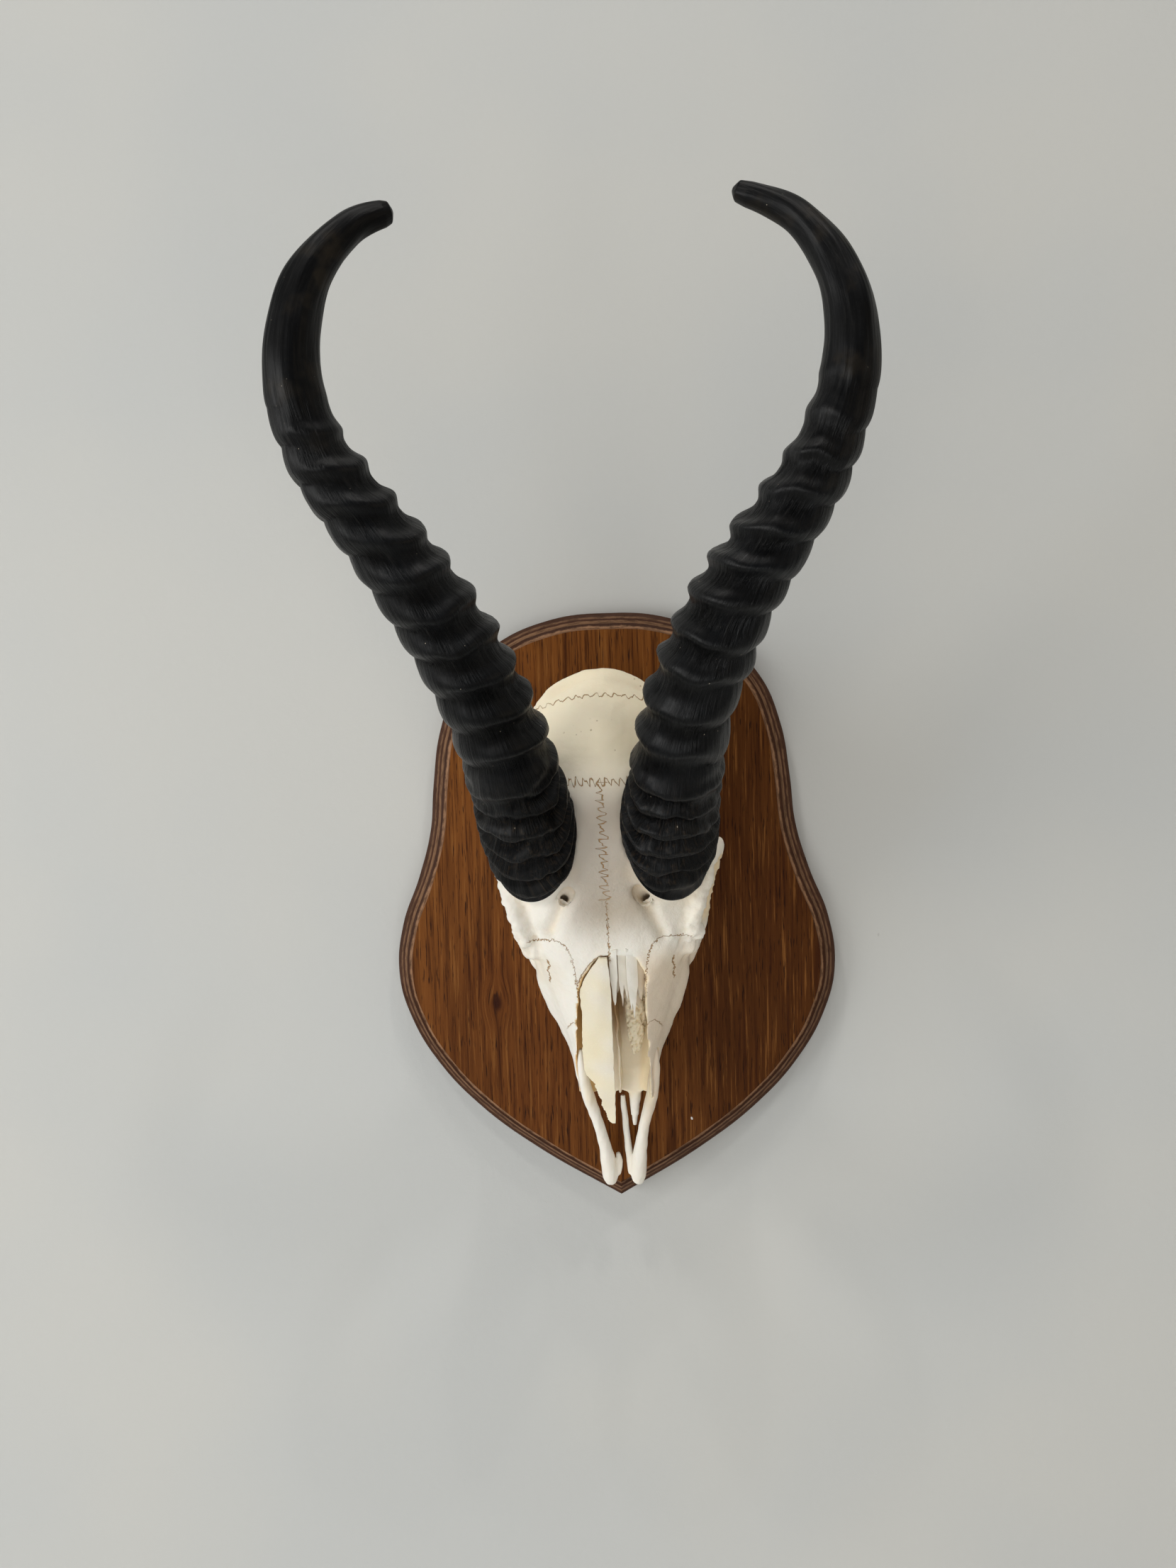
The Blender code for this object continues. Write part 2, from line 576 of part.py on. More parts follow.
def tooth_ring(row_u, middle, length, width, lobes, h, grow, side):
    """A tooth's outline seen from below; the outer face has a pillar for each lobe."""
    ring = []
    corners = 6 + 2 * lobes
    for step in range(corners):
        angle = math.tau * (step + 0.5) / corners
        bulge = 1.0 + 0.10 * math.cos(angle * 2 * lobes) if lobes > 1 else 1.0
        along = (length / 2 + grow) * math.copysign(abs(math.cos(angle)) ** 0.55, math.cos(angle))
        across = (width / 2 + grow) * math.copysign(abs(math.sin(angle)) ** 0.7, math.sin(angle)) * bulge
        ring.append(seat_point(row_u + across * side, middle + along, h))
    return ring


def carve_chewing_face(bm):
    """Two rims and a valley on the chewing face."""
    lowest = max(vert.co.y for vert in bm.verts)
    for face in list(bm.faces):
        if all(abs(vert.co.y - lowest) < 1e-6 for vert in face.verts):
            bmesh.ops.inset_individual(bm, faces=[face], thickness=0.0009, depth=0.0004)
            bmesh.ops.inset_individual(bm, faces=[face], thickness=0.0009, depth=-0.0012)


def make_shield(group, finish, cutters):
    """Flat board with a moulded edge."""
    line = bpy.data.curves.new("shield_outline", "CURVE")
    line.dimensions = "2D"
    line.fill_mode = "BOTH"
    line.resolution_u = 2
    half = [(x, z) for x, z in SHIELD_HALF]
    whole = half + [(-x, z) for x, z in half[-2:0:-1]]
    spline = line.splines.new("BEZIER")
    spline.bezier_points.add(len(whole) - 1)
    spline.use_cyclic_u = True
    for point, (x, z) in zip(spline.bezier_points, whole):
        point.co = (x * 0.001, z * 0.001, 0)
        kind = "VECTOR" if z < -132 else "AUTO"
        point.handle_left_type = kind
        point.handle_right_type = kind
    guide = bpy.data.objects.new("shield_outline", line)
    group.objects.link(guide)
    flat = bpy.data.meshes.new_from_object(guide.evaluated_get(bpy.context.evaluated_depsgraph_get()))
    bpy.data.objects.remove(guide)
    bm = bmesh.new()
    bm.from_mesh(flat)
    bmesh.ops.remove_doubles(bm, verts=bm.verts, dist=0.0001)
    bmesh.ops.dissolve_faces(bm, faces=bm.faces[:])
    bm.transform(Matrix.Rotation(math.radians(90), 4, "X"))
    bm.normal_update()
    face = next(iter(bm.faces))
    if face.normal.y > 0:
        bmesh.ops.reverse_faces(bm, faces=[face])
    bmesh.ops.solidify(bm, geom=[face], thickness=SIDE_HEIGHT * 0.001)
    front = min(bm.faces, key=lambda one: one.calc_center_median().y)
    shift = -SIDE_HEIGHT * 0.001 - front.calc_center_median().y
    bmesh.ops.translate(bm, verts=bm.verts, vec=(0, shift, 0))
    for inward, rise in MOULDING:
        bmesh.ops.inset_region(bm, faces=[front], thickness=inward * 0.001, use_even_offset=True)
        bmesh.ops.translate(bm, verts=front.verts, vec=(0, -rise * 0.001, 0))
    bmesh.ops.recalc_face_normals(bm, faces=bm.faces)
    shield = new_object("plaque", bm, group, finish)
    for cutter in cutters:
        cut(shield, cutter)
    return shield


def disc(bm, radius, deep, place, sides=20, radius_back=None):
    """A round plug along Y; its back radius may differ, for a countersink."""
    back = radius if radius_back is None else radius_back
    turn = Matrix.Rotation(math.radians(90), 4, "X")
    bmesh.ops.create_cone(bm, cap_ends=True, segments=sides, radius1=back * 0.001, radius2=radius * 0.001,
                          depth=deep * 0.001, matrix=Matrix.Translation(metres(place)) @ turn)


def make_skull_screw(group, cutters, finish, seat):
    """Countersunk screw from the shield's back into the skull's base."""
    back = -SHIELD_THICK
    head_h = back + 3.0
    bm = bmesh.new()
    knots = [(0, SCREW_V, back + 0.8, SCREW_HEAD_RADIUS), (0, SCREW_V, head_h, SCREW_RADIUS),
             (0, SCREW_V, 22.0, SCREW_RADIUS), (0, SCREW_V, 26.0, 0.6)]
    add_tube(bm, knots, sides=12)
    new_object("skull_screw", bm, group, finish, seat)
    bm = bmesh.new()
    knots = [(0, SCREW_V, back - 1.0, SCREW_HEAD_RADIUS + 0.5), (0, SCREW_V, back + 0.8, SCREW_HEAD_RADIUS + 0.5),
             (0, SCREW_V, head_h + 0.3, SCREW_RADIUS + GAP), (0, SCREW_V, 4.0, SCREW_RADIUS + GAP)]
    add_tube(bm, knots, sides=16)
    return new_object("board_hole_cutter", bm, cutters, None, seat)


def make_hanger(group, cutters, finish):
    """Keyhole plate let in flush with the shield's back, over a drilled pocket."""
    wide, thick, tall = HANGER_SIZE
    bm = bmesh.new()
    size = Matrix.Diagonal((wide, thick, tall, 1000.0)) * 0.001
    bmesh.ops.create_cube(bm, size=1.0, matrix=Matrix.Translation(metres((0, -thick / 2 - 0.1, HANGER_Z))) @ size)
    plate = new_object("hanger_plate", bm, group, finish)
    round_off = plate.modifiers.new("round_corners", "BEVEL")
    round_off.width = 0.0004
    round_off.segments = 1
    bm = bmesh.new()
    disc(bm, 4.8, 8.0, (0, -1.0, HANGER_Z - 5.0), sides=16)
    eye = new_object("keyhole_cutter", bm, cutters)
    bm = bmesh.new()
    size = Matrix.Diagonal((4.6, 8.0, 12.0, 1000.0)) * 0.001
    bmesh.ops.create_cube(bm, size=1.0, matrix=Matrix.Translation(metres((0, -1.0, HANGER_Z + 1.0))) @ size)
    slot = new_object("slot_cutter", bm, cutters)
    holes = []
    for word, height in (("top", 15.4), ("bottom", -15.4)):
        bm = bmesh.new()
        disc(bm, 1.6, 8.0, (0, -1.0, HANGER_Z + height), sides=10)
        holes.append(new_object("hanger_hole_cutter_" + word, bm, cutters))
        bm = bmesh.new()
        disc(bm, 1.3, 11.0, (0, -5.9, HANGER_Z + height), sides=10)
        new_object("hanger_screw_" + word, bm, group, finish)
    for cutter in [eye, slot] + holes:
        cut(plate, cutter)
    bm = bmesh.new()
    size = Matrix.Diagonal((wide + 0.8, 4.0, tall + 0.8, 1000.0)) * 0.001
    bmesh.ops.create_cube(bm, size=1.0, matrix=Matrix.Translation(metres((0, 0.0, HANGER_Z))) @ size)
    recess = new_object("hanger_recess_cutter", bm, cutters)
    bm = bmesh.new()
    size = Matrix.Diagonal((11.0, 18.0, 22.0, 1000.0)) * 0.001
    bmesh.ops.create_cube(bm, size=1.0, matrix=Matrix.Translation(metres((0, -1.0, HANGER_Z - 0.5))) @ size)
    pocket = new_object("hanger_pocket_cutter", bm, cutters)
    screws = []
    for word, height in (("top", 15.4), ("bottom", -15.4)):
        bm = bmesh.new()
        disc(bm, 1.7, 13.0, (0, -5.6, HANGER_Z + height), sides=10)
        screws.append(new_object("pilot_cutter_" + word, bm, cutters))
    return [recess, pocket] + screws


def build():
    for old in list(bpy.data.objects):
        bpy.data.objects.remove(old)
    group = bpy.data.collections.new("springbok_skull")
    cutters = bpy.data.collections.new("cutters")
    for one in (group, cutters):
        bpy.context.scene.collection.children.link(one)
    bone = material("bone", (0.80, 0.73, 0.60), 0.55)
    wood = material("varnished_wood", (0.16, 0.055, 0.025), 0.3)
    horn = material("black_horn", (0.012, 0.012, 0.014), 0.35)
    enamel = material("tooth_enamel", (0.78, 0.72, 0.58), 0.35)
    steel = material("zinc_steel", (0.56, 0.57, 0.58), 0.35, 1.0)

    seat = bpy.data.objects.new("skull_seat", None)
    group.objects.link(seat)
    seat.location = metres((SEAT[0], -SHIELD_THICK, SEAT[1]))
    seat.rotation_euler = (0, math.radians(-SKULL_LEAN), 0)

    sockets = make_teeth(group, enamel, seat, cutters)
    bone_cutters = [make_nose_cutter(cutters, seat)]
    for side in (-1, 1):
        bone_cutters.append(make_orbit_cutter(side, cutters, seat))
        bone_cutters.append(make_temple_cutter(side, cutters, seat))
        bone_cutters.append(make_premaxilla_cutter(side, cutters, seat))
    bone_cutters += [make_horn_seat_cutter("horn_seat_cutter_left", HORN_LEFT, cutters, seat),
                     make_horn_seat_cutter("horn_seat_cutter_right", HORN_RIGHT, cutters, seat)]
    make_cranium(group, bone_cutters + make_small_cutters(cutters, seat) + sockets, bone, seat)
    make_nasal(group, bone, seat)
    make_vomer(group, bone, seat)
    make_concha(group, bone, seat)
    make_premaxilla("premaxilla_left", -1, BROKEN_PRONG, group, bone, seat)
    make_premaxilla("premaxilla_right", 1, INNER_PRONG, group, bone, seat)
    make_horn("horn_sheath_left", HORN_LEFT, group, horn, seat)
    make_horn("horn_sheath_right", HORN_RIGHT, group, horn, seat)
    board_cutters = [make_skull_screw(group, cutters, steel, seat)] + make_hanger(group, cutters, steel)
    make_shield(group, wood, board_cutters)


build()
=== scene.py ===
"""Springbok skull with ringed black horns on a varnished shield: the visible surface of each piece.

Laid out as an add-on: a panel lists one operator for each piece or group of like pieces. Skull points
are written (u, v, h) in millimetres: u to the viewer's right, v up the face from the nose tip, h out
from the shield. world() turns them into metres in the frame.
"""
import math

import bmesh
import bpy
import numpy as np
from mathutils import Matrix, Vector

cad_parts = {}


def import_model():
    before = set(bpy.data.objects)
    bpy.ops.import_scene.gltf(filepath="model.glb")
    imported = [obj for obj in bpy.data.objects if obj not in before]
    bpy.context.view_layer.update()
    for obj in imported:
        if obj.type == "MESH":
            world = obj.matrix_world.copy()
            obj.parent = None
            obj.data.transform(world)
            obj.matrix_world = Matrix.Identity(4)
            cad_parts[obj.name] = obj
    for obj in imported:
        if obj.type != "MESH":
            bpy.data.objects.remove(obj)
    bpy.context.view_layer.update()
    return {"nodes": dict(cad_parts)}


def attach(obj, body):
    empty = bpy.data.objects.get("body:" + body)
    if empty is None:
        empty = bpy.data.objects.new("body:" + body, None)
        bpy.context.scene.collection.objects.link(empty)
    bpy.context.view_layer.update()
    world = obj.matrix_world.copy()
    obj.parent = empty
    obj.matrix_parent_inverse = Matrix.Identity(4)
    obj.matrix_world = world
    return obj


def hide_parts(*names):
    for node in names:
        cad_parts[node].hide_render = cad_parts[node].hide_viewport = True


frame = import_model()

bl_info = {
    "name": "Springbok Skull On A Shield",
    "version": (1, 0, 0),
    "blender": (4, 5, 0),
    "location": "View3D > Sidebar > Skull",
    "description": "Builds the bleached skull, its horns, its teeth and the wooden shield it is fixed on",
    "category": "Object",
}

MM = 0.001
SHIELD_THICK = 18.0
# Where the nose tip's frame sits on the shield's face, and how far it leans
SEAT = (1.24, -SHIELD_THICK, -118.07)
LEAN = math.radians(1.03)
LEFT, RIGHT = -1, 1
SIDES = ((LEFT, "left"), (RIGHT, "right"))
RIPPLE_WAVES = 14

# Right half of the shield's outline from the top middle to the foot, as (x, z) in millimetres
SHIELD_HALF = [(0, 133.4), (27, 130.6), (52, 119.5), (67.5, 104), (76.3, 83), (80.3, 58), (82.3, 38),
               (88.2, 17), (96.5, -5), (99.1, -28), (94, -48.5), (82, -69.8), (63.8, -90), (38, -110),
               (0, -132.8)]
SIDE_HEIGHT = 10.0
# Moulding, from the outer edge inwards: (width of the step, rise of the step)
MOULDING = [(0.25, 0.5), (0.3, 0.35), (0.45, 0.3), (0.9, 0.55), (0.6, 0.45), (0.7, 0.55), (0.6, 0.5),
            (0.45, 0.55), (0.4, 0.8), (0.25, 0.65), (0.6, 0.35), (1.2, 0.45), (0.5, 0.5), (0.2, 0.8),
            (0.35, 0.75)]

# Rooms for the hanger in the shield's back: size and middle, in millimetres
HANGER_ROOMS = [((16.8, 4.0, 40.8), (0, 0, 98)), ((11.0, 18.0, 22.0), (0, -1, 97.5))]

# Cross sections at stations v: height of the roof's middle, roof edge (u, h), side (u, h),
# lower edge (u, h), height of the underside's middle
SECTIONS = [
    (43, 40.0, (10.0, 38.0), (16.2, 28.0), (11.5, 18.5), 17.5),
    (52, 43.0, (11.0, 40.5), (17.6, 28.5), (12.5, 17.0), 16.8),
    (62, 46.5, (12.0, 43.5), (19.0, 29.0), (16.0, 14.0), 16.5),
    (72, 50.0, (12.8, 47.0), (22.4, 30.5), (22.5, 12.2), 16.5),
    (86, 55.5, (14.0, 52.5), (27.2, 33.0), (26.8, 12.0), 16.5),
    (99, 60.5, (16.5, 57.0), (31.0, 37.0), (28.5, 12.0), 16.5),
    (112, 65.5, (24.0, 60.0), (32.5, 42.0), (28.5, 12.0), 16.5),
    (126, 70.5, (34.5, 58.0), (34.0, 42.0), (27.5, 12.4), 17.0),
    (141, 76.5, (40.0, 58.5), (33.0, 40.0), (17.0, 18.0), 21.0),
    (156, 81.5, (41.5, 59.0), (29.0, 42.0), (12.0, 17.0), 17.5),
    (170, 82.0, (35.0, 60.0), (28.5, 44.0), (14.0, 15.0), 14.5),
    (185, 79.5, (27.0, 62.0), (30.5, 43.0), (20.0, 19.0), 14.0),
    (200, 73.0, (24.0, 60.0), (31.0, 40.0), (23.0, 18.0), 14.0),
    (212, 64.5, (19.5, 55.0), (26.0, 38.0), (20.0, 18.0), 15.0),
    (221, 55.0, (8.5, 49.5), (12.5, 37.0), (9.0, 24.0), 24.0),
    (225, 50.0, (2.6, 47.5), (4.0, 40.0), (2.6, 34.0), 33.0),
]

# Eye sockets: middle of the right one, the way each looks out, radius, rim's thickness, depth
ORBIT_CENTRE = (38.5, 133.0, 45.0)
ORBIT_OUT = {LEFT: (-0.95, -0.29, 0.05), RIGHT: (0.95, -0.29, 0.15)}
ORBIT_RADIUS = 18.6
RIM_BONE = 3.0
ORBIT_DEPTH = 24.0

# Middle line of each horn (u, v, h), from its seat on the skull to its tip
HORN_LINE = {
    LEFT: [(-28.0, 160.0, 71.5), (-29.0, 169.5, 81.5), (-30.1, 181.0, 92.0), (-36.4, 211.4, 115.0),
           (-50.7, 244.7, 135.0), (-67.4, 271.1, 148.0), (-80.5, 292.2, 155.6), (-85.6, 316.8, 160.5),
           (-80.0, 341.5, 160.5), (-66.5, 357.6, 158.5), (-53.6, 363.9, 154.0)],
    RIGHT: [(25.0, 158.5, 71.5), (25.4, 167.5, 81.5), (27.0, 178.5, 92.0), (32.0, 208.3, 115.0),
            (45.2, 240.0, 135.0), (61.8, 264.5, 148.0), (74.2, 284.0, 155.6), (82.1, 307.4, 160.5),
            (80.8, 332.1, 160.5), (69.0, 353.0, 157.5), (50.0, 364.4, 153.0)],
}
# Half width at shares of the way along a horn
HORN_RADIUS = [(0.0, 18.6), (0.08, 18.3), (0.22, 16.0), (0.36, 14.6), (0.5, 11.6), (0.64, 9.4),
               (0.72, 8.4), (0.8, 7.0), (0.86, 5.6), (0.92, 4.5), (0.97, 3.7), (0.988, 3.0), (1.0, 0.9)]
# A horn is a little deeper than wide, and its foot lies square to this direction
HORN_DEEPER = 1.04
SEAT_NORMAL = (0.44, 0.21, 0.88)
# Rings: where they start, the first step, how much each step shrinks, how many; then the foot's folds
RING_START, RING_STEP, RING_SHRINK, RING_COUNT = 26.6, 15.55, 0.17, 12
FOLD_STEP = 7.6

# The right premaxilla, and the inner prongs, whole and broken off (u, v, h, radius)
PREMAXILLA = [(6.0, -1.2, 10.5, 2.3), (6.3, 3.0, 11.5, 3.6), (6.9, 10.0, 14.0, 3.3),
              (8.4, 21.0, 18.5, 2.5), (10.6, 32.0, 23.0, 2.4), (13.6, 44.0, 28.0, 2.6),
              (15.2, 56.0, 32.6, 2.2), (15.5, 62.0, 34.2, 1.6), (15.7, 67.0, 35.2, 0.9)]
INNER_PRONG = [(3.6, 3.0, 11.0, 2.0), (2.6, 12.0, 12.0, 1.6), (1.6, 26.0, 13.8, 1.4), (0.8, 40.0, 15.5, 1.1)]
BROKEN_PRONG = [(3.6, 3.0, 11.0, 2.0), (2.2, 9.0, 11.6, 1.6), (2.6, 12.8, 12.0, 0.7)]
NOSE_SHIFT = 0.7

# Nasal bone: stations v with its left edge, right edge and height of its ridge
NASAL = [(35.6, -2.3, -1.4, 36.6), (39, -5.0, -1.3, 37.8), (44, -6.6, -1.2, 39.6), (50, -8.0, -1.0, 42.0),
         (55, -9.6, -0.9, 43.8), (59.5, -12.4, -0.9, 45.4), (66, -13.2, -0.8, 47.8), (75, -13.0, -0.7, 51.2),
         (87, -12.3, -0.5, 55.8), (96, -12.6, -0.4, 59.4), (104, -9.9, -0.6, 62.6), (112, -4.6, -1.2, 65.6)]
NASAL_WIDE, NASAL_THICK = 13.0, 1.3

# Upright blade in the nose: stations v with its u, foot, crest and half thickness
BLADE = [(43.5, 0.9, 20.3, 23.5, 0.4), (58, 1.2, 20.3, 28.0, 0.6), (76, 0.8, 20.5, 33.0, 0.7),
         (92, 0.2, 21.2, 37.0, 0.7), (104, 0.0, 25.5, 40.0, 0.7)]
# Spongy scroll beside it (u, v, h, radius)
SCROLL = [(8.2, 63.5, 33.4, 0.9), (8.5, 69, 34.8, 2.6), (9.0, 79, 37.5, 4.0), (9.2, 90, 40.5, 4.6),
          (8.6, 99, 43.0, 4.0), (8.0, 103.5, 44.0, 2.6)]

# Cheek teeth from the front one backwards, premolars first
TOOTH_LENGTHS = [7.6, 8.2, 9.0, 12.0, 13.2, 13.2]
TOOTH_WIDTHS = [6.4, 7.2, 8.0, 10.0, 10.6, 10.0]
TOOTH_ROW_START = 66.5
TOOTH_GAP = 0.3
PREMOLARS = 3
# Share of a tooth's skin that runs down its side, and share that is its chewing face
SIDE_SHARE, FACE_SHARE = 0.7, 0.3
GROOVE_LENGTH = 66.4
# Screw from the shield's back into the skull: station, radius of the head's room and of the shank's
SCREW_V, SCREW_HEAD, SCREW_SHANK = 172.0, 4.7, 2.3


# Places and lines

def world(points):
    """Skull points (u, v, h) in millimetres, as metres in the frame."""
    u, v, h = np.moveaxis(np.asarray(points, float), -1, 0)
    x = u * math.cos(LEAN) - v * math.sin(LEAN) + SEAT[0]
    z = u * math.sin(LEAN) + v * math.cos(LEAN) + SEAT[2]
    return np.stack((x, SEAT[1] - h, z), axis=-1) * MM


def skull(points):
    """Frame points in metres, as skull points (u, v, h)."""
    x, y, z = np.moveaxis(np.asarray(points, float) / MM, -1, 0)
    x, z = x - SEAT[0], z - SEAT[2]
    u = x * math.cos(LEAN) + z * math.sin(LEAN)
    v = -x * math.sin(LEAN) + z * math.cos(LEAN)
    return np.stack((u, v, SEAT[1] - y), axis=-1)


def bend(before, low, high, after, part):
    """Smooth curve from low to high, led by the knots before and after them."""
    slope_in, slope_out = (high - before) * 0.5, (after - low) * 0.5
    square, cube = part ** 2, part ** 3
    return (low * (2 * cube - 3 * square + 1) + slope_in * (cube - 2 * square + part)
            + high * (3 * square - 2 * cube) + slope_out * (cube - square))


def through(knots, shares):
    """Smooth line through evenly spaced knots; shares run from 0 to 1."""
    knots = np.asarray(knots, float)
    place = np.clip(shares, 0, 1) * (len(knots) - 1)
    start = np.minimum(place.astype(int), len(knots) - 2)
    near = (knots[np.clip(start + step, 0, len(knots) - 1)] for step in (-1, 0, 1, 2))
    return bend(*near, (place - start)[..., None])


def ahead_of(knots, shares):
    """Direction of the smooth line at each share."""
    return unit(through(knots, shares + 0.01)[:, :3] - through(knots, shares - 0.01)[:, :3])


def unit(vectors):
    return vectors / np.maximum(np.linalg.norm(vectors, axis=-1, keepdims=True), 1e-9)


def on_side(spot, side):
    """A spot or direction written for the right, on the given side."""
    return np.array([spot[0] * side, spot[1], spot[2]])


def mirror(knots, side, shift=0.0, grow=0.0):
    """Knots (u, v, h, radius) written for the right, on the given side."""
    return [(u * side + shift, v, h, radius + grow) for u, v, h, radius in knots]


def ripple(points, size, seed):
    """Soft bumps between about -1 and 1, of the given size in the points' own unit."""
    dice = np.random.default_rng(seed)
    spots = np.asarray(points, float)
    total = np.zeros(spots.shape[:-1])
    for _ in range(RIPPLE_WAVES):
        way = unit(dice.normal(size=spots.shape[-1])) * math.tau / (size * dice.uniform(0.7, 1.9))
        total += np.sin(spots @ way + dice.uniform(0, math.tau))
    return total / math.sqrt(RIPPLE_WAVES) * 0.8


def ripple_along(values, size, seed):
    """Soft bumps that change along one number only."""
    return ripple(np.stack((values, values * 0), -1), size, seed)


def fade(low, high, values):
    """0 below low, 1 above high, smooth between."""
    part = np.clip((np.asarray(values, float) - low) / (high - low), 0, 1)
    return part * part * (3 - 2 * part)


def distance_to_line(points, line):
    """Distance of each point from a bent line."""
    best = np.full(len(points), 1e9)
    line = np.asarray(line, float)
    for start, end in zip(line, line[1:]):
        way = end - start
        share = np.clip((points - start) @ way / max(way @ way, 1e-9), 0, 1)
        best = np.minimum(best, np.linalg.norm(points - start - share[:, None] * way, axis=1))
    return best


# Modelling by hand

def deselect():
    """Leaves edit mode and selects nothing."""
    if bpy.context.object and bpy.context.object.mode != "OBJECT":
        bpy.ops.object.mode_set(mode="OBJECT")
    bpy.ops.object.select_all(action="DESELECT")


def pick(*pieces):
    """Selects only these pieces, the first one active."""
    deselect()
    for piece in pieces:
        piece.select_set(True)
    bpy.context.view_layer.objects.active = pieces[0]


def read_places(piece, what="co"):
    """Places of a mesh's points, or their normals, as rows."""
    flat = np.empty(len(piece.data.vertices) * 3)
    piece.data.vertices.foreach_get(what, flat)
    return flat.reshape(-1, 3)


def write_places(piece, places):
    piece.data.vertices.foreach_set("co", places.ravel())
    piece.data.update()


def turn_out(piece):
    """Faces outwards, over the whole closed skin."""
    pick(piece)
    bpy.ops.object.mode_set(mode="EDIT")
    bpy.ops.mesh.select_all(action="SELECT")
    bpy.ops.mesh.normals_make_consistent(inside=False)
    bpy.ops.object.mode_set(mode="OBJECT")


def write_value(piece, name, values):
    """A number for each point of the mesh, or one for all, which a material can read."""
    layer = piece.data.attributes.new(name, "FLOAT", "POINT")
    layer.data.foreach_set("value", np.full(len(piece.data.vertices), values, np.float32))


def apply(piece, kind, **settings):
    """Adds a modifier with its settings and applies it."""
    step = piece.modifiers.new(kind.lower(), kind)
    for key, value in settings.items():
        setattr(step, key, value)
    pick(piece)
    bpy.ops.object.modifier_apply(modifier=step.name)


def soften(piece, passes):
    apply(piece, "SMOOTH", factor=0.5, iterations=passes)


def raise_skin(piece, lift):
    """Moves each point along its normal, by the millimetres that lift gives for the skull points."""
    places, normals = read_places(piece), read_places(piece, "normal")
    height = lift(skull(places))
    write_places(piece, places + normals * height[:, None] * MM)
    return height


def swept(name, sides, cuts, place):
    """A closed tube: a cylinder cut across many times, each point placed by share and angle."""
    deselect()
    bpy.ops.mesh.primitive_cylinder_add(vertices=sides, radius=1.0, depth=1.0, end_fill_type="NGON")
    piece = bpy.context.object
    piece.name = name
    bpy.ops.object.mode_set(mode="EDIT")
    bpy.ops.mesh.select_mode(type="EDGE")
    for count in cuts:
        bpy.ops.mesh.select_all(action="DESELECT")
        bm = bmesh.from_edit_mesh(piece.data)
        for edge in bm.edges:
            low, high = edge.verts
            edge.select_set(abs(low.co.z - high.co.z) > 1e-5)
        bmesh.update_edit_mesh(piece.data)
        bpy.ops.mesh.subdivide(number_cuts=count)
    bpy.ops.object.mode_set(mode="OBJECT")
    spots = read_places(piece)
    shares = spots[:, 2] + 0.5
    angles = np.arctan2(spots[:, 1], spots[:, 0])
    write_places(piece, world(place(shares, angles)))
    turn_out(piece)
    return piece


def rod(knots, sides=16, cuts=(30,)):
    """A tapering rod through skull points (u, v, h, radius)."""
    knots = np.asarray(knots, float)

    def place(shares, angles):
        line = through(knots, shares)
        ahead = ahead_of(knots, shares)
        length = unit(knots[-1, :3] - knots[0, :3])
        aside = (np.eye(3) - length[:, None] * length[None])[np.argmin(abs(length))]
        across = unit(np.cross(ahead, aside))
        front = np.cross(across, ahead)
        radius = np.maximum(line[:, 3:], 0.05)
        return (line[:, :3] + across * radius * np.cos(angles)[:, None]
                + front * radius * np.sin(angles)[:, None])
    return swept("rod", sides, cuts, place)


def egg(centre, radii, turn=0.0, segments=32):
    """An ellipsoid at a skull point, radii along u, v and h; turn tips it about the v axis."""
    deselect()
    bpy.ops.mesh.primitive_uv_sphere_add(
        segments=segments, ring_count=segments // 2, radius=1.0, location=world(centre),
        rotation=(0, -LEAN, math.radians(turn)), scale=(radii[0] * MM, radii[2] * MM, radii[1] * MM))
    piece = bpy.context.object
    bpy.ops.object.transform_apply()
    return piece


def bent_plate(name, columns, rows, thick, place):
    """A thin plate: a grid whose points are placed by share across and share up."""
    deselect()
    bpy.ops.mesh.primitive_grid_add(x_subdivisions=columns, y_subdivisions=rows, size=1.0)
    plate = bpy.context.object
    plate.name = name
    spots = read_places(plate)
    write_places(plate, world(place(spots[:, 0] + 0.5, spots[:, 1] + 0.5)))
    turn_out(plate)
    apply(plate, "SOLIDIFY", thickness=thick * MM, offset=0.0, use_even_offset=True)
    turn_out(plate)
    return plate


def fuse(name, parts, voxel, passes):
    """Joins parts to one skin, at a voxel size in millimetres."""
    pick(*parts)
    bpy.ops.object.join()
    piece = bpy.context.object
    piece.name = name
    apply(piece, "REMESH", mode="VOXEL", voxel_size=voxel * MM)
    soften(piece, passes)
    return piece


def carve(piece, cutter, solver="MANIFOLD"):
    """Cuts a shape out of a piece and throws the cutter away."""
    apply(piece, "BOOLEAN", operation="DIFFERENCE", solver=solver, object=cutter)
    bpy.data.objects.remove(cutter)


def finish(piece, node, material, angle):
    """Gives a piece its shading, its material and its place on the frame."""
    pick(piece)
    bpy.ops.object.shade_smooth_by_angle(angle=math.radians(angle))
    piece.data.materials.clear()
    piece.data.materials.append(material)
    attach(piece, "root")
    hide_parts(node)
    deselect()


# Writing materials

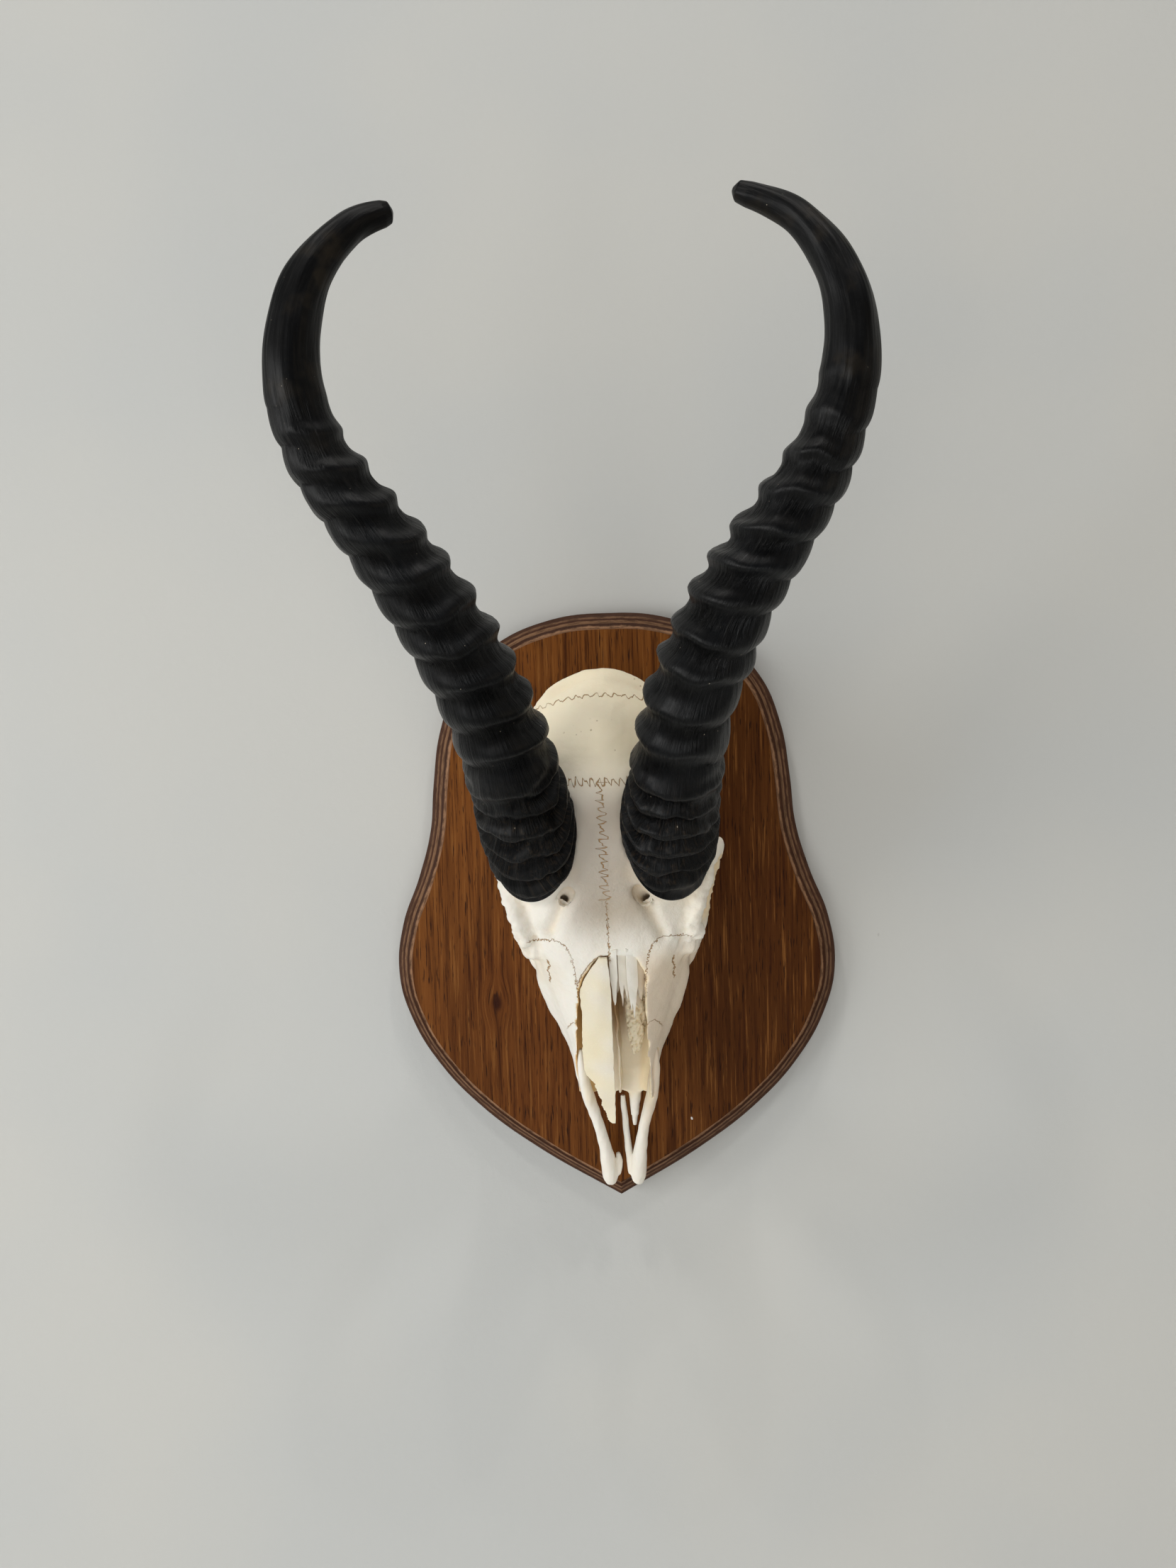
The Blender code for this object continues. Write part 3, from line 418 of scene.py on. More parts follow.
class Value:
    """A socket that reads like a number, a vector or a colour in an expression."""

    def __init__(self, look, socket):
        self.look = look
        self.socket = socket

    def maths(self, operation, *others):
        return self.look.node("Math", {"operation": operation}, dict(enumerate((self, *others))))

    def __add__(self, other):
        return self.maths("ADD", other)

    def __sub__(self, other):
        return self.maths("SUBTRACT", other)

    def __rsub__(self, other):
        return self.look.node("Math", {"operation": "SUBTRACT"}, {0: other, 1: self})

    def __mul__(self, other):
        return self.maths("MULTIPLY", other)

    def __truediv__(self, other):
        return self.maths("DIVIDE", other)

    __radd__ = __add__
    __rmul__ = __mul__

    def abs(self):
        return self.maths("ABSOLUTE")

    def sin(self):
        return self.maths("SINE")

    def root(self):
        return self.maths("SQRT")

    def low(self, other):
        return self.maths("MINIMUM", other)

    def high(self, other):
        return self.maths("MAXIMUM", other)

    def fade(self, low, high):
        """0 below low, 1 above high, smooth between."""
        return self.look.node("MapRange", {"interpolation_type": "SMOOTHSTEP"}, {0: self, 1: low, 2: high})

    def scaled(self, x, y, z):
        return self.look.node("VectorMath", {"operation": "MULTIPLY"}, {0: self, 1: (x, y, z)})

    def moved(self, other):
        return self.look.node("VectorMath", {"operation": "ADD"}, {0: self, 1: other})


class Look:
    """One material, written as expressions on sockets."""

    def __init__(self, name):
        self.material = bpy.data.materials.new(name)
        self.material.use_nodes = True
        self.tree = self.material.node_tree
        self.shader = self.tree.nodes["Principled BSDF"]
        self.spot = 0

    def node(self, kind, settings=None, links=None, out=0):
        """Any shader node: its type, its settings, then the values or links of its sockets."""
        made = self.tree.nodes.new("ShaderNode" + kind)
        self.spot += 1
        made.location = (-220 - 200 * (self.spot // 8), 260 - 170 * (self.spot % 8))
        for key, value in (settings or {}).items():
            if key == "stops":
                while len(made.color_ramp.elements) < len(value):
                    made.color_ramp.elements.new(0.5)
                for stop, (place, colour) in zip(made.color_ramp.elements, value):
                    stop.position = place
                    stop.color = (*colour, 1.0)
            else:
                setattr(made, key, value)
        for key, value in (links or {}).items():
            self.feed(made.inputs[key], value)
        return Value(self, made.outputs[out])

    def feed(self, socket, value):
        if isinstance(value, Value):
            self.tree.links.new(value.socket, socket)
        else:
            socket.default_value = value

    def place(self):
        return self.node("TexCoord", out="Object")

    def split(self, vector):
        made = self.node("SeparateXYZ", None, {0: vector}).socket.node
        return [Value(self, made.outputs[i]) for i in range(3)]

    def join(self, x, y, z):
        return self.node("CombineXYZ", None, {0: x, 1: y, 2: z})

    def noise(self, where, scale, detail=3.0, rough=0.55, twist=0.0):
        return self.node("TexNoise", None, {"Vector": where, "Scale": scale, "Detail": detail,
                                            "Roughness": rough, "Distortion": twist})

    def cells(self, where, scale):
        return self.node("TexVoronoi", None, {"Vector": where, "Scale": scale})

    def value(self, name):
        """A number that write_value left on the mesh."""
        return self.node("Attribute", {"attribute_name": name}, out="Fac")

    def ramp(self, factor, *stops):
        return self.node("ValToRGB", {"stops": stops}, {0: factor})

    def mix(self, factor, first, second):
        """The first colour where the factor is 0, the second where it is 1."""
        first, second = (one if isinstance(one, Value) else (*one, 1.0) for one in (first, second))
        return self.node("Mix", {"data_type": "RGBA"}, {0: factor, 6: first, 7: second}, out=2)

    def bump(self, height, depth, strength=1.0):
        """Normals from a height between 0 and 1 that stands for a depth in millimetres."""
        return self.node("Bump", None, {"Height": height, "Distance": depth * MM, "Strength": strength})

    def set(self, **sockets):
        for key, value in sockets.items():
            self.feed(self.shader.inputs[key.replace("_", " ")], value)
        return self.material


def written_once(name):
    """Writes a material the first time it is asked for, and gives the same one from then on."""
    def wrap(write):
        def get(sizes):
            return bpy.data.materials.get(name) or write(Look(name), sizes)
        return get
    return wrap


def skull_lines(look):
    """Skull coordinates u, v, h in millimetres, out of the place on the skull."""
    x, y, z = look.split(look.place())
    x = x * 1000.0 - SEAT[0]
    z = z * 1000.0 - SEAT[2]
    u = x * math.cos(LEAN) + z * math.sin(LEAN)
    v = z * math.cos(LEAN) - x * math.sin(LEAN)
    return u, v, y * -1000.0 + SEAT[1]


# Seams that write_seams measures: width, how far they wander and how strongly they are drawn
BENT_SEAMS = {"brow": (0.26, 2.6, 1.0), "cheek": (0.24, 1.2, 0.8), "crack": (0.42, 1.6, 1.0),
              "nasal": (0.3, 0.8, 0.9)}


@written_once("bleached_bone")
def bone_look(look, sizes):
    place = look.place()
    u, v, h = skull_lines(look)
    cloud = look.noise(place, 38.0, 4.0)
    stain = look.noise(place, 14.0, 3.0, 0.6)
    fine = look.noise(place, 420.0, 5.0, 0.62)
    pores = look.cells(place, 900.0)
    tone = look.mix(stain.fade(0.42, 0.66), sizes.bone_white, sizes.bone_cream)
    tone = look.mix(cloud.fade(0.5, 0.72) * 0.2, tone, (0.72, 0.62, 0.44))
    tone = look.mix(fine.fade(0.55, 0.8) * 0.14, tone, (0.62, 0.54, 0.40))
    # Depths of the nose, which get painted shade
    nose = (h.fade(50.0, 36.0) * v.fade(110.0, 98.0) * v.fade(62.0, 82.0) * u.fade(5.5, 3.0)
            * u.fade(-16.5, -14.0))
    hollow = look.value("hollow")
    # Cream from the nasal bone and the scroll; on the nasal bone partly random tone, partly painted shading
    tone = look.mix(look.value("cream") * 0.8, tone, (0.93, 0.83, 0.58))
    # Creamy braincase; painted shade on the bone between the horns; painted shade with warm bounced light on
    # the right side of the snout
    dome = v.fade(168.0, 196.0) * h.fade(20.0, 40.0)
    tone = look.mix(dome * 0.6, tone, (0.98, 0.84, 0.55))
    # Painted shade between the horns, where the horns keep the light off
    between = v.fade(112.0, 134.0) * v.fade(188.0, 168.0) * u.abs().fade(24.0, 8.0) * h.fade(50.0, 60.0)
    tone = look.mix(between * (stain * 0.3 + 0.52), tone, (0.32, 0.25, 0.18))
    # Painted shade with warm light bounced from the wood, on the right side of the snout
    warm = u.fade(7.0, 15.0) * v.fade(118.0, 104.0)
    tone = look.mix(warm * 0.45, tone, (0.74, 0.52, 0.29))
    # Dark dots on the braincase: painted shade of small pits
    pits = look.cells(place, 300.0).fade(0.16, 0.09) * look.noise(place, 90.0, 2.0).fade(0.5, 0.6) * dome
    tone = look.mix(pits * 0.7, tone, (0.40, 0.28, 0.14))
    # Painted warm light on the floor and inner walls of the nose, painted shade in its depths and other
    # hollows, and a warmer tone inside the eye sockets
    # Painted warm bounced light on the nose's floor
    floor = h.fade(40.0, 34.0) * v.fade(112.0, 104.0) * v.fade(36.0, 44.0) * u.abs().fade(15.5, 13.0)
    tone = look.mix(floor * 0.5, tone, (0.92, 0.80, 0.56))
    # Painted warm light on the nose's inner walls, orange on the left wall
    inner = look.value("inner")
    tone = look.mix(inner * 0.6, tone, (0.90, 0.74, 0.46))
    # Painted shade in the nose's depths
    tone = look.mix((nose * 0.85).low(1.0), tone, (0.46, 0.27, 0.10))
    tone = look.mix(inner * u.fade(-6.0, -12.0) * 0.8, tone, (0.86, 0.52, 0.17))
    # Painted shade in hollows
    tone = look.mix(hollow * 0.4, tone, (0.70, 0.52, 0.30))
    socket = h.fade(50.0, 42.0) * u.abs().fade(25.0, 31.0) * v.fade(116.0, 122.0) * v.fade(156.0, 148.0)
    tone = look.mix(socket * 0.55, tone, (0.82, 0.60, 0.30))

    # Grown seams between the bones: thin brown lines that loop and wander
    def seam(across, width):
        return across.abs().fade(width, width * 0.35)

    def meander(across, along, reach, period, offset):
        """Distance from a line that winds to and fro across its course."""
        drift = look.noise(look.join(along * 0.3, offset, 0.0), 1.0, 2.0) - 0.5
        sway = look.noise(look.join(along * 0.45, offset + 40.0, 0.0), 1.0, 1.0)
        size = (sway.fade(0.25, 0.75) * 0.9 + 0.35) * reach
        turn = along * (math.tau / period) + drift * 8.0 + across * 0.55
        kink = (turn * 2.3 + 1.0).sin() * 0.22
        steep = (turn + math.pi / 2).sin() * size * (math.tau / period)
        return (across + (turn.sin() + kink) * size + drift * 3.0) / (steep * steep + 1.0).root()

    flat = look.join(u, v, 0.0)
    small_u = look.noise(flat.moved((5.0, 71.0, 0.0)), 1.0, 1.0, 0.4) - 0.5
    frontal = seam(meander(u + 0.4, v, 1.7, 3.0, 3.0), 0.25) * v.fade(135.0, 137.0) * v.fade(183.0, 181.5)
    frontal_low = seam(u + 0.2 + small_u * 2.4, 0.26) * v.fade(109.0, 111.0) * v.fade(137.0, 135.0)
    coronal = seam(meander(v - 182.0 + u * 0.03, u, 1.5, 2.8, 9.0), 0.25) * u.abs().fade(24.0, 22.0)
    crown = seam(meander(v - 214.8 + u * u * 0.007, u, 0.7, 3.8, 17.0), 0.24) * u.abs().fade(27.0, 25.0)
    seams = frontal
    for one in (frontal_low, coronal, crown):
        seams = seams.high(one)
    for name, (width, wander, strong) in BENT_SEAMS.items():
        across = look.value(name + "_gap") + small_u * wander
        one = seam(across, width) * look.value(name + "_run").fade(-0.2, 0.8) * strong
        seams = seams.high(one)
    seams = seams * h.fade(36.0, 42.0) * (look.noise(place, 60.0, 2.0).fade(0.25, 0.5) * 0.5 + 0.5)
    tone = look.mix(seams * 0.92, tone, (0.36, 0.20, 0.07))
    brow = v.fade(106.0, 118.0) * v.fade(162.0, 146.0) * h.fade(40.0, 50.0)
    grit = look.noise(place, 800.0, 3.0, 0.6)
    relief = fine * 0.4 + grit * (brow * 0.9 + 0.2) + pores * 0.2 - seams * 1.2
    return look.set(
        Base_Color=tone, Roughness=cloud * 0.2 + 0.5, Normal=look.bump(relief, 0.2),
        Specular_IOR_Level=0.3, Subsurface_Weight=0.06, Subsurface_Scale=0.004)


@written_once("cheek_tooth_enamel")
def tooth_look(look, sizes):
    place = look.place()
    _, depth, _ = look.split(place)
    streak = look.noise(place.scaled(1.0, 0.25, 1.0), 420.0, 4.0)
    stain = look.noise(place, 130.0, 3.0, 0.6)
    chew = depth.fade(-0.0232, -0.0195)
    tone = look.mix(stain.fade(0.4, 0.7), sizes.tooth_cream, (0.52, 0.40, 0.24))
    tone = look.mix(streak.fade(0.58, 0.7) * 0.55, tone, (0.22, 0.14, 0.07))
    tone = look.mix(chew * stain.fade(0.45, 0.6) * 0.5, tone, (0.16, 0.10, 0.05))
    return look.set(Base_Color=tone, Roughness=stain * 0.25 + 0.2, Normal=look.bump(streak, 0.12))


@written_once("black_horn")
def horn_look(look, sizes):
    along = look.value("along")
    east, north = look.value("round_x"), look.value("round_y")
    skin = look.join(east, north, along * 0.035)
    fibre = look.noise(skin, 1.35, 4.0, 0.62, 0.25)
    coarse = look.noise(look.join(east, north, along * 0.05), 0.5, 3.0, 0.6)
    cloud = look.noise(look.join(east, north, along), 0.09, 3.0)
    dust = look.noise(look.join(east, north, along), 0.8, 4.0, 0.66)
    base = along.fade(58.0, 12.0)
    tip = along.fade(150.0, 200.0)
    tone = look.mix(cloud.fade(0.4, 0.7), sizes.horn_black, sizes.horn_blue)
    valley = look.value("swell").fade(0.6, -1.0)
    tone = look.mix(fibre.fade(0.5, 0.76) * (valley * 0.6 + 0.1), tone, (0.020, 0.019, 0.018))
    # Fibres darkened in the ring valleys: painted shade
    tone = look.mix(fibre.fade(0.46, 0.3) * valley * 0.8, tone, (0.0005, 0.0005, 0.0006))
    tone = look.mix(base * dust.fade(0.5, 0.7) * 0.6, tone, (0.036, 0.023, 0.012))
    tone = look.mix(tip * cloud.fade(0.5, 0.7) * 0.5, tone, (0.022, 0.016, 0.009))
    fleck = look.cells(look.join(east, north, along), 0.32).fade(0.055, 0.03)
    tone = look.mix(fleck * dust.fade(0.5, 0.6), tone, (0.55, 0.48, 0.38))
    grip = fibre.fade(0.3, 0.75) * (1 - tip * 0.85) * (valley * 0.7 + 0.5)
    relief = grip * 0.9 + coarse * (0.5 - tip * 0.4) + dust * base * 0.9
    rough = dust * 0.14 + base * 0.10 + tip * 0.1 + 0.25
    return look.set(Base_Color=tone, Roughness=rough, Normal=look.bump(relief, 0.6), Specular_IOR_Level=0.15,
                    Coat_Weight=(1 - valley) * (1 - tip * 0.6) * (dust * 0.2 + 0.1), Coat_Roughness=0.38)


# Knot and paint fleck of the board, as (x, z) in metres
KNOT_PLACE = (-0.0537, -0.0402)
FLECK_PLACE = (0.0327, -0.0947)
# Plies from the shield's back to its face: share of the way and tone
PLIES = [(0.0, (0.10, 0.048, 0.026)), (0.16, (0.10, 0.048, 0.026)), (0.18, (0.19, 0.10, 0.055)),
         (0.34, (0.19, 0.10, 0.055)), (0.36, (0.085, 0.040, 0.024)), (0.630, (0.075, 0.036, 0.023)),
         (0.642, (0.21, 0.115, 0.066)), (0.664, (0.20, 0.11, 0.060)), (0.676, (0.070, 0.030, 0.019)),
         (0.704, (0.070, 0.030, 0.019)), (0.716, (0.27, 0.15, 0.082)), (0.826, (0.24, 0.125, 0.062)),
         (0.838, (0.050, 0.021, 0.012)), (0.864, (0.055, 0.022, 0.012)), (0.876, (0.38, 0.21, 0.115)),
         (1.0, (0.30, 0.145, 0.070))]


@written_once("varnished_plywood")
def wood_look(look, sizes):
    place = look.place()
    x, y, z = look.split(place)
    deep = y * -1000.0
    # One dark knot at the lower left, with the grain led round it
    knot_x, knot_z = x - KNOT_PLACE[0], z - KNOT_PLACE[1]
    knot = ((knot_x * knot_x * 1.9 + knot_z * knot_z * 0.75) * 1.0e6).root()
    warp = look.noise(place.scaled(1.0, 0.2, 0.25), 14.0, 2.0)
    run = x + warp * 0.006 - knot_x * knot.fade(13.0, 2.0) * 0.75
    grain = look.noise(look.join(run, y * 0.3, z * 0.030), 760.0, 4.0, 0.66)
    band = look.noise(look.join(run, y * 0.3, z * 0.045), 210.0, 3.0, 0.6)
    broad = look.noise(look.join(run, y * 0.2, z * 0.12), 34.0, 3.0, 0.55)
    pores = look.noise(look.join(run, y, z * 0.062), 1500.0, 2.0, 0.55).fade(0.60, 0.68)
    tone = look.mix(band.fade(0.22, 0.62), sizes.wood_dark, sizes.wood_warm)
    tone = look.mix(look.noise(place, 9.0, 2.0).fade(0.45, 0.7) * 0.5, tone, sizes.wood_red)
    lift = z.fade(-0.04, 0.12) * x.abs().fade(0.04, 0.085)
    lift = lift + z.fade(0.085, 0.12) * 0.3
    tone = look.mix(lift * 0.7, tone, sizes.wood_orange)
    tone = look.mix(broad.fade(0.4, 0.7) * 0.3, tone, sizes.wood_dark)
    # Painted shade: the board darker towards its right side, where less light falls
    tone = look.mix(x.fade(0.01, 0.06) * 0.6, tone, (0.030, 0.008, 0.001))
    tone = look.mix(grain.fade(0.50, 0.66) * 0.8, tone, (0.038, 0.010, 0.003))
    tone = look.mix(grain.fade(0.46, 0.34) * 0.6, tone, (0.25, 0.10, 0.024))
    tone = look.mix(pores * 0.85, tone, (0.020, 0.007, 0.004))
    tone = look.mix(knot.fade(4.6, 1.2) * 0.9, tone, (0.030, 0.008, 0.004))
    # Plies that show along the moulded edge, each of its own tone, worn in places
    layer = deep + (look.noise(place, 55.0, 3.0) - 0.5) * 0.8 + (look.noise(place, 420.0, 2.0) - 0.5) * 0.35
    plies = look.ramp(layer / 18.2, *PLIES)
    streaks = look.noise(place.scaled(1.0, 5.0, 1.0), 190.0, 4.0, 0.65)
    plies = look.mix(streaks.fade(0.42, 0.66) * 0.55 + 0.22, plies, (0.042, 0.018, 0.010))
    on_edge = deep.fade(17.86, 17.6)
    back = deep.fade(0.4, 0.1)
    tone = look.mix(on_edge * (1 - back), tone, plies)
    tone = look.mix(back * 0.8, tone, (0.21, 0.115, 0.055))
    # A fleck of white paint at the lower right
    chip_x, chip_z = x - FLECK_PLACE[0], z - FLECK_PLACE[1]
    chip = ((chip_x * chip_x * 2.2 + chip_z * chip_z + chip_x * chip_z) * 1.0e6).root()
    tone = look.mix(chip.fade(0.75, 0.5) * deep.fade(9.0, 12.0), tone, (0.75, 0.74, 0.72))
    relief = (1 - pores) * 0.7 + grain * 0.3 + streaks * on_edge * 0.5
    return look.set(
        Base_Color=tone, Roughness=grain * 0.16 + 0.38 + back * 0.3, Normal=look.bump(relief, 0.12),
        Coat_Weight=(1 - on_edge) * 0.03 + 0.01, Coat_Roughness=0.3, Specular_IOR_Level=0.06)


@written_once("zinc_plated_steel")
def steel_look(look, sizes):
    place = look.place()
    spangle = look.cells(place, 420.0)
    wear = look.noise(place, 700.0, 4.0, 0.6)
    tone = look.mix(spangle, (0.46, 0.47, 0.47), (0.62, 0.63, 0.64))
    tone = look.mix(wear.fade(0.6, 0.8) * 0.4, tone, (0.24, 0.22, 0.19))
    return look.set(Base_Color=tone, Metallic=1.0, Roughness=wear * 0.25 + 0.25,
                    Normal=look.bump(wear, 0.03))


@written_once("painted_wall")
def wall_look(look, sizes):
    place = look.place()
    roller = look.noise(place, 260.0, 5.0, 0.6)
    broad = look.noise(place, 5.0, 2.0)
    tone = look.mix(broad.fade(0.35, 0.65), sizes.wall_grey, sizes.wall_shade)
    scuff = look.noise(place.scaled(1.0, 1.0, 0.4), 46.0, 4.0, 0.7).fade(0.735, 0.76)
    tone = look.mix(scuff * 0.45, tone, (0.26, 0.25, 0.23))
    return look.set(Base_Color=tone, Roughness=0.62, Normal=look.bump(roller, 0.13))


# The pieces

def make_shield(sizes):
    """Board: outline curve filled, pushed out to the side's height, then inset step by step."""
    deselect()
    bpy.ops.curve.primitive_bezier_circle_add(radius=1.0)
    guide = bpy.context.object
    whole = SHIELD_HALF + [(-x, z) for x, z in SHIELD_HALF[-2:0:-1]]
    line = guide.data
    line.dimensions = "2D"
    line.fill_mode = "BOTH"
    line.resolution_u = 10
    spline = line.splines[0]
    spline.bezier_points.add(len(whole) - len(spline.bezier_points))
    for point, (x, z) in zip(spline.bezier_points, whole):
        point.co = (x * MM, z * MM, 0)
        kind = "VECTOR" if z == SHIELD_HALF[-1][1] else "AUTO"
        point.handle_left_type = kind
        point.handle_right_type = kind
    bpy.ops.object.convert(target="MESH")
    shield = bpy.context.object
    shield.rotation_euler = (math.radians(90), 0, 0)
    bpy.ops.object.transform_apply(location=False, rotation=True, scale=False)
    shield.name = "shield_board"
    bpy.ops.object.mode_set(mode="EDIT")
    bpy.ops.mesh.select_all(action="SELECT")
    bpy.ops.mesh.remove_doubles(threshold=0.00005)
    bpy.ops.mesh.dissolve_limited(angle_limit=0.01)
    bpy.ops.mesh.select_all(action="SELECT")
    bm = bmesh.from_edit_mesh(shield.data)
    if len(bm.faces) > 1:
        bmesh.ops.dissolve_faces(bm, faces=bm.faces[:])
        bmesh.update_edit_mesh(shield.data)
        bpy.ops.mesh.select_all(action="SELECT")
    bpy.ops.mesh.select_mode(type="FACE")
    bpy.ops.mesh.extrude_region_move(TRANSFORM_OT_translate={"value": (0, -SIDE_HEIGHT * MM, 0)})
    for inward, rise in MOULDING:
        bpy.ops.mesh.inset(thickness=inward * MM, depth=0.0, use_even_offset=True)
        bpy.ops.transform.translate(value=(0, -rise * MM, 0))
    bpy.ops.object.mode_set(mode="OBJECT")
    turn_out(shield)
    back = -SHIELD_THICK
    screw_room = [(0, SCREW_V, back - 1, SCREW_HEAD), (0, SCREW_V, back + 0.8, SCREW_HEAD),
                  (0, SCREW_V, back + 3.3, SCREW_SHANK), (0, SCREW_V, 4, SCREW_SHANK)]
    carve(shield, rod(screw_room, 32, (12,)), "EXACT")
    for size, place in HANGER_ROOMS:
        deselect()
        bpy.ops.mesh.primitive_cube_add(size=1.0, location=[one * MM for one in place],
                                        scale=[one * MM for one in size])
        box = bpy.context.object
        bpy.ops.object.transform_apply()
        carve(shield, box, "EXACT")
    finish(shield, "plaque", wood_look(sizes), 28)


def section_place(shares, angles):
    """Skin of the cranium's body by share from nose to nape and angle round."""
    table = np.array([[v, roof, *edge, *side, *low, under] for v, roof, edge, side, low, under in SECTIONS])
    row = through(table, shares)
    v, roof, edge_u, edge_h, side_u, side_h, low_u, low_h, under = row.T
    zero = np.zeros_like(v)
    half = np.stack([np.stack(pair, -1) for pair in (
        (zero, roof), (edge_u * 0.55, roof - 0.22 * (roof - edge_h)), (edge_u, edge_h), (side_u, side_h),
        (low_u, low_h), (low_u * 0.55, under), (zero, under))])
    last = len(half) - 1
    where = np.abs(angles) / math.pi * last
    start = np.minimum(where.astype(int), last - 1)
    index = np.arange(len(v))
    before, low, high, after = (half[np.clip(start + step, 0, last), index] for step in (-1, 0, 1, 2))
    other_half = np.array([-1.0, 1.0])
    before = np.where((start == 0)[:, None], high * other_half, before)
    after = np.where((start == last - 1)[:, None], low * other_half, after)
    spot = bend(before, low, high, after, (where - start)[:, None])
    return np.stack((spot[:, 0] * np.sign(angles + 1e-12), v, spot[:, 1]), -1)


def rim_line(side):
    """Middle line of the eye socket's rim, as skull points."""
    out = unit(np.array(ORBIT_OUT[side]))
    forward = unit(np.array([0.0, 1.0, 0.0]) - out * out[1])
    rise = np.cross(out, forward)
    turns = np.linspace(0, math.tau, 25)
    circle = np.outer(np.cos(turns), forward) + np.outer(np.sin(turns), rise)
    return on_side(ORBIT_CENTRE, side) + circle * ORBIT_RADIUS


def rim_ring(side):
    """The eye socket's rim: a torus set along the socket's outward direction."""
    u, v, h = ORBIT_OUT[side]
    out = Vector((u, -h, v))
    deselect()
    bpy.ops.mesh.primitive_torus_add(
        major_segments=72, minor_segments=20, major_radius=ORBIT_RADIUS * MM, minor_radius=RIM_BONE * MM,
        location=world(on_side(ORBIT_CENTRE, side)), rotation=out.to_track_quat("Z", "Y").to_euler())
    ring = bpy.context.object
    bpy.ops.object.transform_apply()
    return ring


def horn_frames(side, shares):
    """Middle, direction, across, front, half width and lean of a horn at each share."""
    knots = HORN_LINE[side]
    middle = through(knots, shares)
    axis = ahead_of(knots, shares)
    seat = unit(on_side(SEAT_NORMAL, side))
    level = np.maximum(0.0, 1.0 - shares / 0.28)[:, None]
    way = unit(axis * (1 - level) + seat * level)
    across = unit(np.array([1.0, 0, 0]) - way * way[:, :1])
    front = np.cross(across, way)
    front = np.where(front[:, 2:] < 0, -front, front)
    table = np.array(HORN_RADIUS)
    radius = np.interp(shares, table[:, 0], table[:, 1])
    lean = 1.0 / np.maximum(np.abs((way * axis).sum(1)), 0.82)
    return middle, way, across, front, radius, lean


def horn_place(side, extra):
    """Skin of a horn, with extra(shares, angles) millimetres added to its radius."""
    def place(shares, angles):
        middle, _, across, front, radius, lean = horn_frames(side, shares)
        swell = extra(shares, angles)
        wide = (radius + swell) * np.cos(angles)
        deep = (radius * HORN_DEEPER * lean + swell) * np.sin(angles)
        return middle + across * wide[:, None] + front * deep[:, None]
    return place


def pedicle(side):
    """Bone that carries a horn, up to and a little past the seat."""
    def place(shares, angles):
        rise = -20 + shares * 23.5
        grow = np.interp(shares, (0, 0.47, 0.72, 1), (2.5, 1.2, -0.4, -0.6))
        root = horn_place(side, lambda _, turns: grow * (0.75 + 0.25 * np.sin(turns)))(shares * 0, angles)
        way = horn_frames(side, np.zeros(1))[1]
        return root + way * rise[:, None]
    return swept("pedicle", 40, (8,), place)


# Bones of one side as rods (u, v, h, radius), written for the right
CHEEK_ARCH = [(30, 100, 24, 4.0), (36.5, 117, 27, 4.2), (40.5, 134, 26, 3.3), (41.5, 150, 29, 3.2),
              (40.5, 166, 33, 3.2), (35, 180, 37, 3.6), (27, 190, 38, 5.0)]
BAR_BEHIND_EYE = [(38, 153, 60, 5.0), (44.0, 153, 52, 3.6), (43.2, 152, 40, 3.0), (41.5, 151, 28, 3.3)]
NAPE_PRONG = [(24, 208, 32, 6.0), (22, 208, 18, 4.0), (19, 207, 8, 2.6), (17.5, 205, 1.8, 1.3)]
EAR_STUB = [(29, 196, 30, 5.0), (31.5, 192, 28, 3.6)]
PALATE_WING = [(8.5, 128, 18, 2.4), (8.0, 140, 16, 2.2), (7.5, 152, 13.5, 2.0), (7.0, 160, 15, 2.4)]
TOOTH_BED = [(15.0, 57, 20.5, 1.6), (17.6, 66, 18.8, 4.2), (20.8, 80, 18, 6.0), (22.8, 104, 18, 6.4),
             (21.8, 130, 18, 5.6)]
# Middles of the rounded bones of one side, written for the right
CHEEK, EAR_BULB, NECK_JOINT = (31, 114, 44), (15.5, 188, 15.5), (8.6, 212.5, 18.0)
# Bones that are there once: two strips of the palate's front, one longer, and the ridge of the nape
PALATE_STRIP_RIGHT = [(6.2, 24.5, 15.5, 0.8), (6.6, 34, 16.2, 2.2), (7.0, 44, 17, 3.2), (6.5, 56, 17.6, 3.4)]
PALATE_STRIP_LEFT = [(-1.5, 39.0, 16.0, 0.9), (-3.5, 44, 16.6, 2.6), (-6.5, 52, 17.2, 3.4),
                     (-6.5, 60, 17.6, 3.4)]
NAPE_RIDGE = [(-25, 210, 48, 2.2), (-18, 218, 48.5, 2.2), (-9, 222.2, 49.4, 2.2), (0, 223.2, 50, 2.4),
              (9, 222.0, 49.4, 2.2), (18, 217.5, 48.5, 2.2), (25, 209, 48, 2.2)]


def cranium_parts():
    """Overlapping solids of the fused bone, from the body outwards."""
    parts = [swept("body", 96, (9, 9), section_place)]
    for side, _ in SIDES:
        parts += [
            rim_ring(side),
            rod(mirror(CHEEK_ARCH, side)),
            rod(mirror(BAR_BEHIND_EYE, side)),
            egg(on_side(CHEEK, side), (6, 7, 13)),
            pedicle(side),
            egg(on_side(EAR_BULB, side), (6.0, 10.0, 9.0)),
            rod(mirror(NAPE_PRONG, side)),
            egg(on_side(NECK_JOINT, side), (6.5, 7.5, 8.5), 20 * side),
            rod(mirror(EAR_STUB, side)),
            rod(mirror(PALATE_WING, side)),
            rod(mirror(TOOTH_BED, side)),
        ]
    return parts + [rod(knots) for knots in (PALATE_STRIP_RIGHT, PALATE_STRIP_LEFT, NAPE_RIDGE)]


